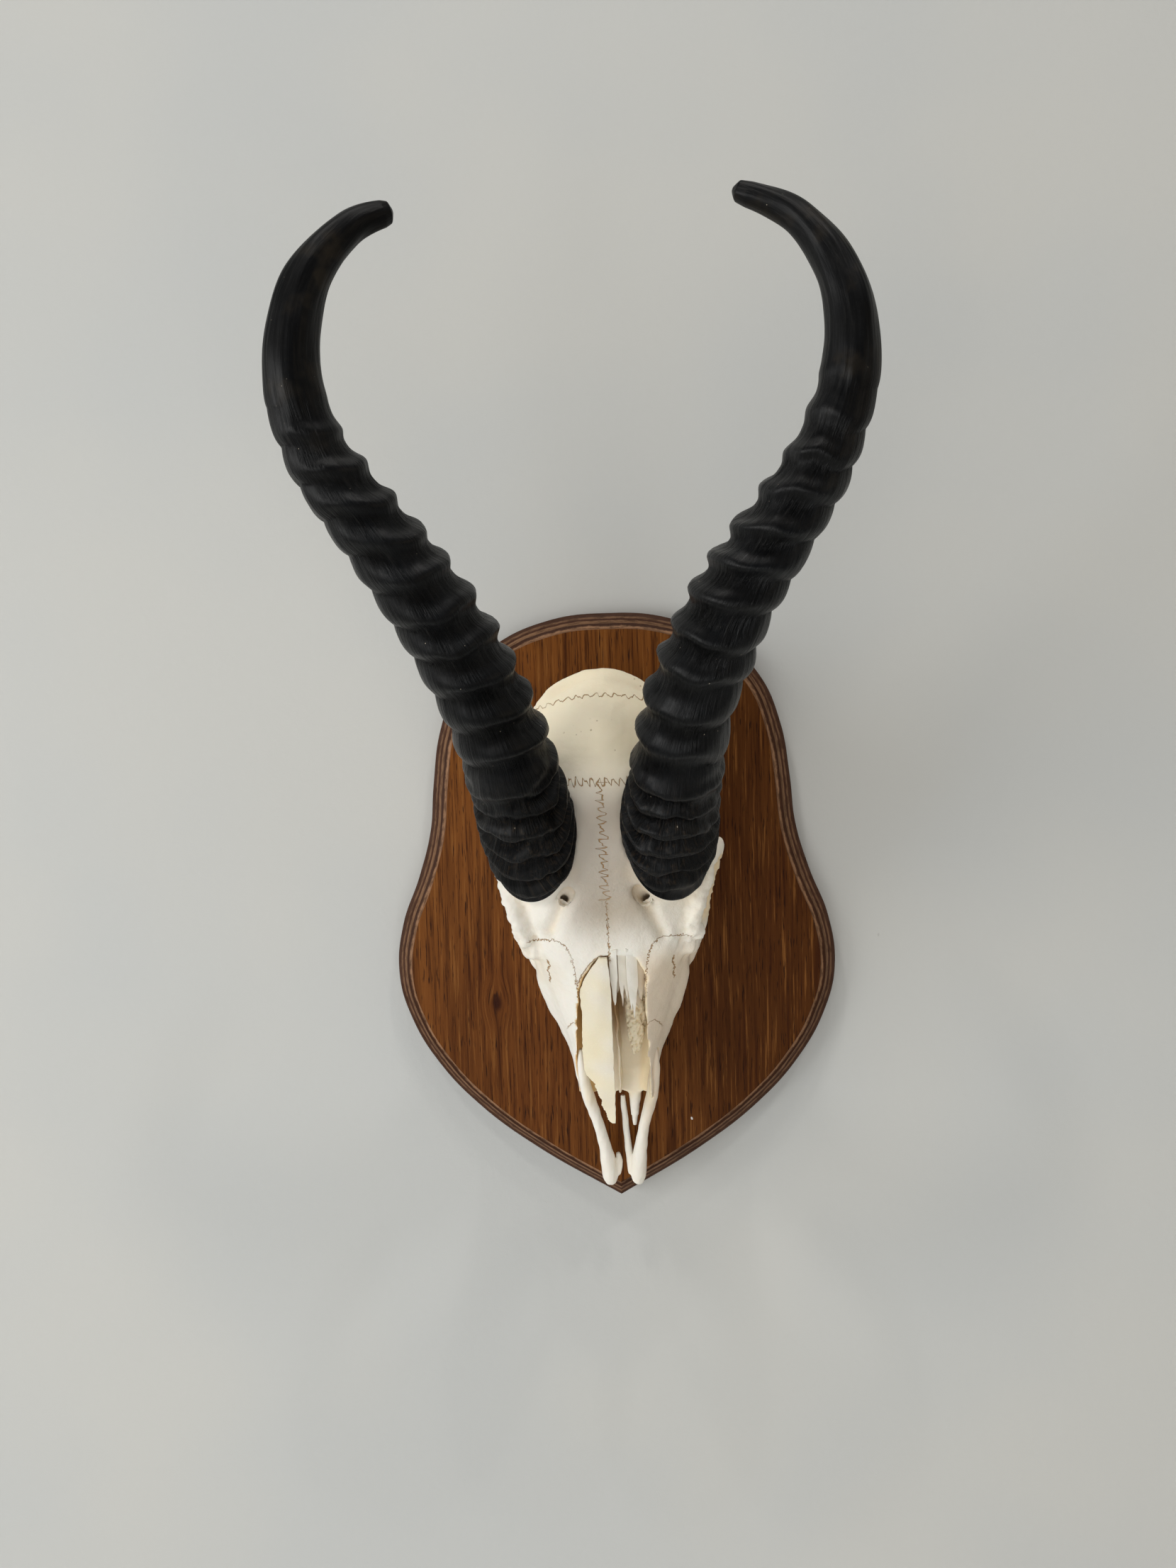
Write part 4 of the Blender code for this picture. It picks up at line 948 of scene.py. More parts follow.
# Torn edge of the brow above the nose: how far it stands up or hangs down at each u
BROW_EDGE = [(-14, 0), (-9, -0.5), (-5, -0.9), (-1, -0.9), (0.2, -1.2), (1.0, -6.0), (1.7, -5.4),
             (2.3, -0.8), (3.2, 0.4), (4.0, -2.4), (4.6, -6.4), (5.3, -3.0), (5.9, 1.2), (6.9, -0.4),
             (7.8, -4.6), (8.5, -5.0), (9.2, -1.0), (10.2, 0.8), (11.4, -2.0), (14, -3.0)]
# Room of the nose at stations v: half width and height of its waist, floor, half width of the opening
# to the left and to the right, height of the sill
NOSE_ROOM = [(34, 13.0, 24, 20.0, 16.0, 14.4, 26), (52, 15.0, 27, 19.5, 16.4, 13.8, 31),
             (74, 18.4, 31, 19.5, 15.6, 13.4, 41), (90, 22.5, 34, 20.0, 13.9, 13.0, 51),
             (98, 22.5, 36, 21.0, 12.9, 13.4, 54), (106, 20.0, 40, 24.0, 9.7, 13.0, 56),
             (112.4, 12.0, 46, 34.0, 4.9, 9.5, 58)]
ABOVE_FACE = 95


def nose_cutter():
    """Room of the nasal cavity, with ragged upper walls."""
    def place(shares, angles):
        v, wide, waist, floor, left, right, sill = through(NOSE_ROOM, shares).T
        zero = np.zeros_like(v)
        top = zero + ABOVE_FACE
        ring = np.stack([np.stack(pair, -1) for pair in (
            (zero, floor), (wide * 0.7, floor + 0.4), (wide, waist), (right, sill), (right, top),
            (zero, top), (-left, top), (-left, sill), (-wide, waist), (-wide * 0.7, floor + 0.4))])
        where = (angles / math.tau % 1.0) * len(ring)
        start = where.astype(int) % len(ring)
        part = (where - where.astype(int))[:, None]
        index = np.arange(len(v))
        spot = ring[start, index] * (1 - part) + ring[(start + 1) % len(ring), index] * part
        ragged = ripple(np.stack((v, spot[:, 1] * 0.3, np.sign(spot[:, 0]) * 40), -1), 6.0, 5) * 0.55
        high = fade(-3.0, 3.0, spot[:, 1] - sill)
        u = spot[:, 0] + np.sign(spot[:, 0]) * ragged * high
        teeth = np.interp(u, *zip(*BROW_EDGE)) * fade(98, 112, v) * high
        return np.stack((u, v + teeth, spot[:, 1]), -1)
    return swept("nose_room", 80, (9, 7), place)


def orbit_cutter(side):
    """Bowl of the eye socket, from its depth to past the rim."""
    out = unit(np.array(ORBIT_OUT[side]))
    centre = on_side(ORBIT_CENTRE, side)
    radius = ORBIT_RADIUS - RIM_BONE * 0.55
    return rod([(*(centre + out * ORBIT_DEPTH * depth), radius * share) for depth, share in (
        (-1.0, 0.35), (-0.86, 0.62), (-0.6, 0.86), (-0.25, 0.98), (0.0, 1.0), (0.6, 1.25))], 64, (24,))


def horn_seat_cutter(side):
    """Room for the foot of a horn, a little wider than the horn."""
    def place(shares, angles):
        reach = np.interp(shares, (0, 0.1, 1), (0.0, 0.0, 0.14))
        skin = horn_place(side, lambda _, turns: 0.7 + 0 * turns)(reach, angles)
        way = horn_frames(side, np.zeros(1))[1]
        return skin - way * np.interp(shares, (0, 0.1), (0.4, 0.0))[:, None]
    return swept("horn_room", 64, (10,), place)


# Two holes in the brow, one for each eye's vein, and the large hole of the nape
BROW_HOLES = [[(-13.6, 141.6, 81, 2.3), (-15.6, 138.2, 73, 2.2), (-17.8, 134.4, 62, 1.8)],
              [(11.4, 141.2, 81, 2.3), (13.8, 137.4, 73, 2.2), (16.4, 133.4, 62, 1.8)]]
NAPE_HOLE = [(0, 224, 24, 8.0), (0, 212, 27, 7.0), (0, 203, 30, 5.0)]


def cranium_cutters():
    """Everything that is taken out of the fused bone, in the order of the cuts."""
    cutters = [nose_cutter()]
    for side, _ in SIDES:
        temple_gap = egg((33.6 * side, 168, 36), (5.6, 11.0, 20.0), 4 * side)
        premaxilla_bed = rod(mirror(PREMAXILLA, side, NOSE_SHIFT, 0.5), 24)
        cutters += [orbit_cutter(side), temple_gap, horn_seat_cutter(side), premaxilla_bed,
                    tooth_groove(side)]
    throat = egg((0, 138, 22.5), (5.6, 15.0, 6.5))
    screw_hole = rod([(0, SCREW_V, 2, 3.0), (0, SCREW_V, 28.5, 3.0)], 24)
    return cutters + [rod(knots) for knots in BROW_HOLES] + [throat, rod(NAPE_HOLE, 32), screw_hole]


def tooth_row_u(v):
    """The tooth row bows outwards: its distance from the middle at a station v."""
    return 23.2 - 0.0024 * (v - 108.0) ** 2


def tooth_groove(side):
    """Square groove that the cheek teeth of one side stand in."""
    row = [TOOTH_ROW_START - 0.9 + GROOVE_LENGTH * step / 12 for step in range(13)]

    def place(shares, angles):
        v = np.interp(shares, np.linspace(0, 1, len(row)), row)
        half = np.interp(v, (66, 90, 132), (4.4, 5.6, 6.4))
        turns = np.stack((np.cos(angles), np.sin(angles)), -1)
        box = turns / np.max(np.abs(turns), axis=1, keepdims=True)
        return np.stack((tooth_row_u(v) * side + box[:, 0] * half, v, 9.5 + box[:, 1] * 6.3), -1)
    return swept("tooth_groove", 32, (40,), place)


# Soft strokes on the bone: line of skull points, reach in millimetres, height (negative is a dent)
STROKES = [
    ([(0, 150, 80), (0, 170, 82), (0, 182, 80)], 9.0, -0.7),
    ([(0, 116, 68), (0, 134, 74)], 7.0, -0.9),
    ([(-1, 193, 77), (-1, 203, 71)], 5.0, 1.2),
    ([(-12, 196, 70), (-8, 200, 70)], 5.0, -0.6),
    ([(10, 192, 74), (12, 200, 68)], 5.0, -0.5),
    ([(-14, 186, 74), (-13, 206, 66)], 6.0, -0.6),
    ([(12, 186, 74), (11, 206, 66)], 6.0, -0.6),
    ([(-27, 183, 62), (-22, 200, 62), (-22, 214, 55)], 4.0, 0.8),
    ([(27, 183, 62), (22, 200, 62), (22, 214, 55)], 4.0, 0.8),
    ([(-15.0, 139, 75), (-17.5, 135, 73), (-21.0, 128, 69), (-24, 122, 65)], 2.5, -3.4),
    ([(12.6, 139, 75), (15.4, 133, 73), (18.5, 127, 70), (21.5, 120, 66)], 2.6, -3.3),
    ([(-11.5, 134, 74), (-16, 126, 71)], 2.6, 0.6),
    ([(20.5, 132, 71), (22, 124, 68)], 2.6, 0.7),
]
# Strokes that both sides have, written for the right
SIDE_STROKES = [
    ([(30, 100, 44), (27, 86, 38), (22, 72, 34)], 5.0, -0.8),
    ([(31, 96, 33), (27, 82, 26)], 4.0, 1.0),
    ([(27, 122, 62), (31, 112, 52)], 3.0, -0.8),
    ([(41, 141, 61), (37.7, 130, 60), (33, 118, 56)], 2.8, 1.1),
    ([(30.5, 111.5, 50), (31.5, 106, 47)], 2.6, -1.5),
    ([(30, 205, 30), (30, 190, 30)], 4.0, -0.8),
]


def cranium_relief(spots):
    """Height of the fused bone's soft bumps, strokes and rough socket rims, in millimetres."""
    lift = ripple(spots, 15.0, 1) * 0.22 + ripple(spots, 5.0, 2) * 0.10 + ripple(spots, 2.2, 3) * 0.05
    strokes = STROKES + [([on_side(spot, side) for spot in line], reach, height)
                         for side, _ in SIDES for line, reach, height in SIDE_STROKES]
    for line, reach, height in strokes:
        lift += height * np.exp(-(distance_to_line(spots, line) / reach) ** 2)
    for side, _ in SIDES:
        near = np.exp(-(distance_to_line(spots, rim_line(side)) / 3.4) ** 2)
        lift += near * (ripple(spots, 2.8, 11) * 0.8 + ripple(spots, 9.0, 12) * 0.5)
        corner = np.linalg.norm(spots - (34.0 * side, 118.0, 56.0), axis=1)
        lift += np.exp(-(corner / 7.0) ** 2) * (ripple(spots, 2.7, 14) * 1.1 + 0.6)
    return lift


def measure_hollow(piece):
    """How hollow the surface is at each point: its depth under the softened surface."""
    before = read_places(piece)
    copy = piece.copy()
    copy.data = piece.data.copy()
    bpy.context.collection.objects.link(copy)
    soften(copy, 60)
    gap = ((read_places(copy) - before) * read_places(piece, "normal")).sum(1) / MM
    bpy.data.objects.remove(copy)
    return np.clip(gap / 1.6, 0, 1)


def make_cranium(sizes):
    """Fused bone: its solids joined, the rooms cut out, then relief, shards and measured seams."""
    bone = fuse("cranium_bone", cranium_parts(), 1.1, 7)
    for cutter in cranium_cutters():
        carve(bone, cutter)
    bone = fuse("cranium_bone", [bone], sizes.bone_detail / MM, 2)
    spots, normals = skull(read_places(bone)), read_places(bone, "normal")
    raise_skin(bone, cranium_relief)
    # Depth in hollows, which the material paints as shade
    write_value(bone, "hollow", measure_hollow(bone))
    # Walls inside the nose that look towards its middle, on which the material paints warm light
    facing_in = np.clip(-2.0 * normals[:, 0] * np.sign(spots[:, 0]), 0, 1)
    write_value(bone, "inner", facing_in * fade(114, 108, spots[:, 1]) * fade(38, 44, spots[:, 1])
                * fade(21, 19, np.abs(spots[:, 0])))
    pick(bone, *broken_plates())
    bpy.ops.object.join()
    write_seams(bone)
    finish(bone, "cranium", bone_look(sizes), 60)


# What is left beside the missing nasal bone: shards with their left and right edge, lift and ragged
# foot (u, v), all hanging from one line under the brow
SHARD_TOP = [(-0.4, 114.5), (5.0, 116.0), (9.8, 114.0), (13.7, 108.0)]
SHARDS = [
    (-0.4, 2.6, -0.8, [(-0.4, 104.0), (0.4, 93.2), (0.9, 90.2), (1.5, 92.0), (2.0, 97.5), (2.6, 103.0)]),
    (2.9, 6.6, -2.2, [(2.9, 101.0), (3.5, 95.4), (4.1, 92.6), (4.7, 99.5), (5.3, 96.8), (5.9, 92.0),
                      (6.6, 99.0)]),
    (6.2, 10.4, -0.6, [(6.2, 101.0), (6.9, 93.0), (7.5, 88.2), (7.9, 91.4), (8.5, 84.0), (9.1, 89.5),
                       (9.6, 93.5), (10.4, 99.6)]),
    (10.0, 13.7, -1.8, [(10.0, 101.0), (10.8, 93.2), (11.6, 91.0), (12.3, 96.4), (13.0, 92.8),
                        (13.7, 97.0)]),
    (1.2, 5.4, -5.2, [(1.2, 105.0), (2.2, 94.0), (3.1, 99.0), (4.0, 88.5), (4.6, 95.0), (5.4, 100.0)]),
    (5.0, 11.8, -5.8, [(5.0, 103.0), (6.2, 92.0), (7.4, 97.0), (9.0, 90.5), (10.2, 86.5), (11.0, 91.0),
                       (11.8, 97.0)]),
]
SHARD_THICK = 0.8


def broken_plates():
    """Splinters of bone under the brow, each a thin shard of its own, tilted in turn."""
    shards = []
    for number, (left, right, lift, foot) in enumerate(SHARDS):
        tilt = 0.16 * (-1) ** number

        def place(across, up):
            u = left + (right - left) * across
            high, low = np.interp(u, *zip(*SHARD_TOP)), np.interp(u, *zip(*foot))
            low = low + ripple_along(u, 0.7, 81) * 0.6
            v = low + (high - low) * up
            h = (66.2 - (112 - v) * 0.42 - u * u * 0.028 + lift + tilt * (u - 6.0)
                 + ripple(np.stack((u, v), -1), 5.0, 82) * 0.12)
            return np.stack((u, v, h), -1)
        shards.append(bent_plate(f"shard_{number + 1}", 60, 40, SHARD_THICK, place))
        # Painted shade: shards that lie deeper are darker
        write_value(shards[-1], "hollow", min(0.9, -0.17 * lift))
    return shards


# Seams that bend: (u, v) lines, written for the right; the last one is drawn on the left only
BROW_SEAM = [(33.0, 118.2), (26.0, 119.2), (21.5, 119.5), (17.6, 117.4), (15.4, 113.4), (14.4, 107.8),
             (13.8, 101.0), (13.6, 93.0)]
CHEEK_SEAM = [(13.2, 79.6), (14.8, 81.4), (16.6, 81.6), (18.4, 79.6), (20.6, 75.6), (22.4, 70.0)]
CRACK = [(25.6, 110.5), (24.6, 107.6), (25.8, 104.4), (25.0, 101.6), (25.6, 98.4)]
NASAL_SEAM = [(13.4, 100.6), (11.4, 104.8), (8.9, 108.4), (6.2, 111.2), (3.4, 112.8), (1.0, 111.2),
              (-0.6, 110.2)]


# How far the first and last stretch of a bent seam run on, in millimetres
PAST_END = 99.0


def signed_distance(spots, line):
    """Distance in (u, v) from a bent line, signed by side, the way along it, and its length."""
    line = np.asarray(line, float)
    best = np.full(len(spots), 1e9)
    signed = np.zeros(len(spots))
    along = np.zeros(len(spots))
    walked = 0.0
    for number, (start, end) in enumerate(zip(line, line[1:])):
        way = end - start
        length = np.linalg.norm(way)
        way = way / length
        arm = spots[:, :2] - start
        low = -PAST_END if number == 0 else 0.0
        high = PAST_END if number == len(line) - 2 else length
        run = np.clip(arm @ way, low, high)
        off = arm - run[:, None] * way
        gap = np.linalg.norm(off, axis=1)
        side = way[0] * arm[:, 1] - way[1] * arm[:, 0]
        nearer = gap < best
        best = np.where(nearer, gap, best)
        signed = np.where(nearer, gap * np.sign(side), signed)
        along = np.where(nearer, walked + run, along)
        walked += length
    return signed, along, walked


def write_seams(bone):
    """Distances from the bent seams, which the bone's material draws as thin lines."""
    spots = skull(read_places(bone))
    both_sides = np.column_stack((np.abs(spots[:, 0]), spots[:, 1:]))
    left_side = spots * (-1, 1, 1)
    for name, line, where in (("brow", BROW_SEAM, both_sides), ("cheek", CHEEK_SEAM, both_sides),
                              ("crack", CRACK, both_sides), ("nasal", NASAL_SEAM, left_side)):
        signed, along, length = signed_distance(where, line)
        write_value(bone, name + "_gap", signed)
        write_value(bone, name + "_run", np.minimum(along, length - along))


def make_nasal(sizes):
    """Left nasal bone: a thin bent plate with a ragged foot."""
    def place(across, up):
        v, left, right, ridge = through(NASAL, up).T
        rag = ripple_along(v, 3.2, 21) * 0.6 + ripple_along(v, 1.1, 22) * 0.25
        left = left + rag * (0.35 + 0.65 * fade(66, 52, v))
        right = right + ripple_along(v, 5.0, 23) * 0.18
        u = right + (left - right) * (1 - across)
        away = right - u
        h = ridge + 0.6 - 0.33 * away * (0.06 + 0.94 * away / NASAL_WIDE)
        h += ripple(np.stack((u, v * 0.4), -1), 6.0, 24) * 0.28
        return np.stack((u, v, h), -1)
    plate = bent_plate("nasal_bone_left", 44, 190, NASAL_THICK, place)
    apply(plate, "BEVEL", width=0.3 * MM, segments=2, limit_method="ANGLE", angle_limit=math.radians(50))
    spots = skull(read_places(plate))
    # Cream: random tone, and painted shading that keeps the ridge whiter like a highlight and warms the left
    # edge and the foot
    edge = np.clip(-0.2 - spots[:, 0] / NASAL_WIDE, 0, 1) + fade(60, 44, spots[:, 1]) * 0.4
    write_value(plate, "cream", np.clip(0.55 + edge * 0.5 + ripple(spots, 11.0, 25) * 0.3, 0, 1))
    finish(plate, "nasal_bone", bone_look(sizes), 45)


def make_inner_nose(sizes):
    """The upright blade and the spongy scroll inside the nose."""
    def blade(shares, angles):
        v, u, foot, crest, half = through(BLADE, shares).T
        rise = (1 - np.cos(angles)) / 2
        height = foot + (crest - foot) * rise + ripple_along(v, 4.0, 31) * 0.5 * rise
        wide = half * (1.8 - rise) * np.sign(np.sin(angles)) * np.abs(np.sin(angles)) ** 0.6
        return np.stack((u + wide + ripple(np.stack((v, height), -1), 12.0, 32) * 0.3, v, height), -1)
    vomer = swept("nose_blade", 32, (9, 7), blade)
    # Painted shade on the blade, deep in the nose
    write_value(vomer, "hollow", 0.2)
    finish(vomer, "vomer", bone_look(sizes), 60)

    def pits(spots):
        return -np.clip(ripple(spots, 2.1, 41) + 0.6 * ripple(spots, 1.2, 42), -0.2, 1.4) * 1.1
    scroll = fuse("spongy_scroll", [rod(SCROLL, 48, (60,))], 0.42, 2)
    depth = raise_skin(scroll, pits)
    # Painted shade in the scroll's pits
    write_value(scroll, "hollow", np.clip(0.05 - depth * 0.45, 0, 1))
    write_value(scroll, "cream", 0.8)
    finish(scroll, "nasal_concha", bone_look(sizes), 60)


def make_premaxillae(sizes):
    """The two rods of the nose tip; the left one's inner prong is broken off."""
    for side, word in SIDES:
        def grain(spots):
            return ripple(spots * (1, 0.35, 1), 2.4, 50 + side) * 0.10 + ripple(spots, 7.0, 53) * 0.14
        prong = INNER_PRONG if side == RIGHT else BROKEN_PRONG
        parts = [rod(mirror(knots, side, NOSE_SHIFT), 32, (60,)) for knots in (PREMAXILLA, prong)]
        parts.append(egg((6.1 * side + NOSE_SHIFT, -0.6, 10.4), (2.3, 2.0, 2.2), 0, 24))
        bone = fuse("premaxilla_" + word + "_bone", parts, 0.38, 5)
        raise_skin(bone, grain)
        # Painted shade in the hollows
        write_value(bone, "hollow", measure_hollow(bone) * 0.6)
        finish(bone, "premaxilla_" + word, bone_look(sizes), 60)


def horn_walk(side):
    """Shares of the way along a horn, and the millimetres walked to each."""
    shares = np.linspace(0, 1, 2001)
    steps = np.diff(through(HORN_LINE[side], shares), axis=0)
    return shares, np.concatenate(([0], np.cumsum(np.linalg.norm(steps, axis=1))))


def horn_rings(side, s, angles, round_spot):
    """Height of the rings at s millimetres: steep ridges on the inner side, cushions outside."""
    # Each ring is narrower than the one before, so the phase is the root of a square
    inside = np.maximum(RING_STEP ** 2 - 4 * RING_SHRINK * (s - RING_START), 0.0)
    phase = (RING_STEP - np.sqrt(inside)) / (2 * RING_SHRINK)
    turn = (phase + 0.44) % 1.0
    warped = np.where(turn < 0.44, turn / 0.88, 0.5 + (turn - 0.44) / 1.12)
    inner = 0.5 - 0.5 * np.cos(angles) * side
    ridge = (0.5 - 0.5 * np.cos(math.tau * warped)) ** 1.5 * 2.3
    cushion = np.abs(np.sin(math.pi * warped)) ** 0.8 * 1.9
    crest = cushion + (ridge - cushion) * fade(0.15, 0.55, inner) - 1.0
    face = 0.5 + 0.5 * np.sin(angles)
    strength = (1.35 - 0.045 * phase) * (0.42 + 0.68 * np.maximum(inner, face * 0.8))
    strength *= 1 + 0.22 * ripple(round_spot, 18.0, 74 + side)
    reach = fade(RING_COUNT + 0.6, RING_COUNT - 2.2, phase) * fade(-0.6, 0.6, phase)
    return crest * strength * reach


def horn_relief(side, shares, angles):
    """Rings on the lower two thirds, small folds at the foot, fibres and soft bumps, in millimetres."""
    along = np.interp(shares, *horn_walk(side))
    _, way, across, front, radius, _ = horn_frames(side, shares)
    # Rings lie level, so their phase is read where the level plane through the point cuts the axis
    tilt = (across[:, 1] * np.cos(angles) + 0.25 * front[:, 1] * np.sin(angles)) * radius
    tilt /= np.maximum(way[:, 1], 0.45)
    tilt *= fade(20, 60, along) * 0.85
    east, north = np.cos(angles) * 14, np.sin(angles) * 14
    round_spot = np.stack((east, north, along * 0.6), -1)
    wander = ripple(round_spot, 26.0, 60 + side) * 1.8
    s = along + tilt + wander + ripple(round_spot, 9.0, 62 + side) * 0.6
    low = fade(56, 24, along)
    wander = ripple(round_spot, 20.0, 80 + side) * 2.2
    wave = along + tilt + wander + ripple(round_spot, 7.0, 82 + side) * 0.7
    fold = (0.5 - 0.5 * np.cos(math.tau * wave / FOLD_STEP)) ** 1.2 * 3.6 - 2.0
    fold *= 0.85 + 0.4 * ripple(round_spot, 14.0, 84 + side)
    knobs = ripple(round_spot, 3.4, 68 + side)
    fibre = ripple(np.stack((east, north, along * 0.05), -1), 1.9, 70)
    swell = horn_rings(side, s, angles, round_spot) * (1 - 0.55 * low)
    swell += low * (fold + knobs * 0.35 + 0.2) + fibre * 0.10 * fade(250, 190, along)
    return swell + ripple(round_spot, 12.0, 72) * 0.25


def nearest_share(side, spots):
    """Share of the way along a horn's line that lies nearest to each point."""
    shares = np.linspace(0, 1, 600)
    middles = through(HORN_LINE[side], shares)
    nearest = np.empty(len(spots), int)
    for start in range(0, len(spots), 4000):
        part = spots[start:start + 4000]
        nearest[start:start + 4000] = ((part[:, None] - middles[None]) ** 2).sum(2).argmin(1)
    return shares[nearest]


def measure_horn(sheath, side):
    """Values for the material: how far along the horn, a seamless way round it, and its relief."""
    spots = skull(read_places(sheath))
    shares = nearest_share(side, spots)
    middle, _, across, front, radius, _ = horn_frames(side, shares)
    arm = spots - middle
    forward, aside = (arm * front).sum(1), (arm * across).sum(1)
    turn = np.arctan2(forward, aside)
    write_value(sheath, "along", np.interp(shares, *horn_walk(side)))
    write_value(sheath, "round_x", np.cos(turn) * radius)
    write_value(sheath, "round_y", np.sin(turn) * radius)
    write_value(sheath, "swell", np.hypot(forward, aside) - radius)


def make_horns(sizes):
    """Two sheaths: swept along their line, ringed on the lower two thirds, smooth towards the tip."""
    for side, word in SIDES:
        def extra(shares, angles):
            edge = fade(0.0, 0.012, shares) * fade(1.0, 0.985, shares)
            return np.minimum(horn_relief(side, shares, angles), sizes.ring_reach / MM) * edge
        sheath = swept("horn_" + word, 112, (24, 21), horn_place(side, extra))
        measure_horn(sheath, side)
        finish(sheath, "horn_sheath_" + word, horn_look(sizes), 60)


def make_teeth(sizes):
    """Six cheek teeth a side, each from its own outline, with pillars and worn hollows."""
    for side, word in SIDES:
        place_v = TOOTH_ROW_START
        for index, (length, width) in enumerate(zip(TOOTH_LENGTHS, TOOTH_WIDTHS)):
            middle = place_v + length / 2
            row_u = tooth_row_u(middle) * side
            lobes = 2 if index >= PREMOLARS else 1
            place_v += length + TOOTH_GAP

            def skin(shares, angles):
                # The first part of the way goes down the side, the rest in over the chewing face
                down = np.clip(shares / SIDE_SHARE, 0, 1)
                inward = np.clip((shares - SIDE_SHARE) / FACE_SHARE, 0, 1)
                h = 15.0 - 14.0 * down
                grow = np.interp(down, (0, 0.45, 0.9, 1), (-0.6, -0.05, -0.35, -0.7))
                bulge = 1.0 + 0.10 * np.cos(angles * 2 * lobes) if lobes > 1 else 1.0
                groove = 0.22 * np.abs(np.sin(angles * lobes * 2)) ** 3
                cos, sin = np.cos(angles), np.sin(angles)
                along = ((length - 0.25) / 2 + grow - groove) * np.sign(cos) * np.abs(cos) ** 0.55
                across = (width / 2 + grow - groove) * np.sign(sin) * np.abs(sin) ** 0.7 * bulge
                keep = 1 - inward
                dish = 1.1 * np.sin(np.clip(inward * 1.3, 0, 1) * math.pi)
                dish = dish * (0.6 + 0.4 * np.cos(angles * 2 * lobes))
                return np.stack((row_u + across * side * keep, middle + along * keep, h + dish), -1)
            tooth = swept(f"cheek_tooth_{word}_{index + 1}", 48, (9, 3), skin)
            finish(tooth, f"tooth_{word}_{index + 1}", tooth_look(sizes), 50)


def dress_fixings(sizes):
    """The small steel parts keep their solids and get the plated finish."""
    for node in ("skull_screw", "hanger_plate", "hanger_screw_top", "hanger_screw_bottom"):
        part = frame["nodes"][node]
        part.data.materials.clear()
        part.data.materials.append(steel_look(sizes))


# Flat planes of the stage: middle in metres and turn in degrees
FLAT_SIZE = 5.0
FLATS = {"wall_backdrop": ((0, 0.0006, 0.9), 90), "floor": ((0, -2.2, -1.6), 0)}
# Round lamps: place and aim in metres, width in metres, power in watts, colour
LAMPS = {
    "window_left": ((-1.9, -1.3, 0.15), (0, 0, 0.0), 1.4, 22.0, (1.0, 1.0, 0.985)),
    "window_right": ((1.9, -1.3, 0.15), (0, 0, 0.0), 1.4, 4.0, (1.0, 0.84, 0.62)),
    "window_low": ((-1.2, -1.7, -0.45), (0, 0, 0.0), 1.6, 7.0, (1.0, 0.995, 0.97)),
    "room": ((0.0, -1.9, -0.8), (0, 0, 0.0), 2.0, 15.0, (1.0, 0.985, 0.955)),
    "lamp_left": ((-0.85, -1.5, 2.5), (0, 0, 0.0), 0.24, 12.0, (1.0, 0.97, 0.93)),
    "lamp_right": ((0.88, -1.5, 2.5), (0, 0, 0.0), 0.24, 10.0, (1.0, 0.97, 0.93)),
    "ceiling_left": ((-0.14, -0.9, 1.95), (0, -0.05, 0.0), 0.05, 3.0, (1.0, 0.97, 0.92)),
    "ceiling_right": ((0.16, -0.9, 1.95), (0, -0.05, 0.0), 0.05, 3.0, (1.0, 0.97, 0.92)),
}
SKY_COLOUR, SKY_STRENGTH = (0.86, 0.93, 1.0, 1.0), 0.10
# The photograph's camera, fitted to outline points: metres, millimetres, and yaw, pitch, roll in degrees
CAMERA_PLACE = (0.010, -0.540, 0.09427)
CAMERA_LENS, CAMERA_FILM = 27.08, 36.0
CAMERA_TURNS = (2.19, -4.0, 1.6)


def make_flats(look):
    for name, (place, turn) in FLATS.items():
        deselect()
        bpy.ops.mesh.primitive_plane_add(size=FLAT_SIZE, location=place, rotation=(math.radians(turn), 0, 0))
        flat = bpy.context.object
        flat.name = name
        bpy.ops.object.transform_apply()
        flat.data.materials.append(look)


def make_lights():
    for name, (place, aim, size, power, colour) in LAMPS.items():
        deselect()
        bpy.ops.object.light_add(type="AREA", location=place)
        lamp = bpy.context.object
        lamp.name = name
        lamp.data.shape = "DISK"
        lamp.data.size = size
        lamp.data.energy = power
        lamp.data.color = colour
        # The room's soft light would make the horns' gloss grey all over
        lamp.visible_glossy = name != "room"
        lamp.rotation_euler = (Vector(aim) - Vector(place)).to_track_quat("-Z", "Y").to_euler()
    sky = bpy.context.scene.world or bpy.data.worlds.new("room")
    bpy.context.scene.world = sky
    sky.use_nodes = True
    sky.node_tree.nodes["Background"].inputs["Color"].default_value = SKY_COLOUR
    sky.node_tree.nodes["Background"].inputs["Strength"].default_value = SKY_STRENGTH
    bpy.context.scene.view_settings.view_transform = "Standard"


def make_camera():
    deselect()
    bpy.ops.object.camera_add(location=CAMERA_PLACE)
    camera = bpy.context.object
    camera.name = "photo_view"
    camera.data.lens = CAMERA_LENS
    camera.data.sensor_width = CAMERA_FILM
    camera.data.sensor_fit = "AUTO"
    yaw, pitch, roll = (math.radians(one) for one in CAMERA_TURNS)
    ahead = Matrix.Rotation(yaw, 3, "Z") @ Vector((0, 1, 0))
    right = Matrix.Rotation(yaw, 3, "Z") @ Vector((1, 0, 0))
    ahead = Matrix.Rotation(pitch, 3, right) @ ahead
    up = right.cross(ahead)
    right = Matrix.Rotation(roll, 3, ahead) @ right
    up = Matrix.Rotation(roll, 3, ahead) @ up
    camera.rotation_euler = Matrix((right, up, -ahead)).transposed().to_euler()
    bpy.context.scene.camera = camera


def make_stage(sizes):
    """Wall, floor, lights and camera."""
    make_flats(wall_look(sizes))
    make_lights()
    make_camera()


# The add-on

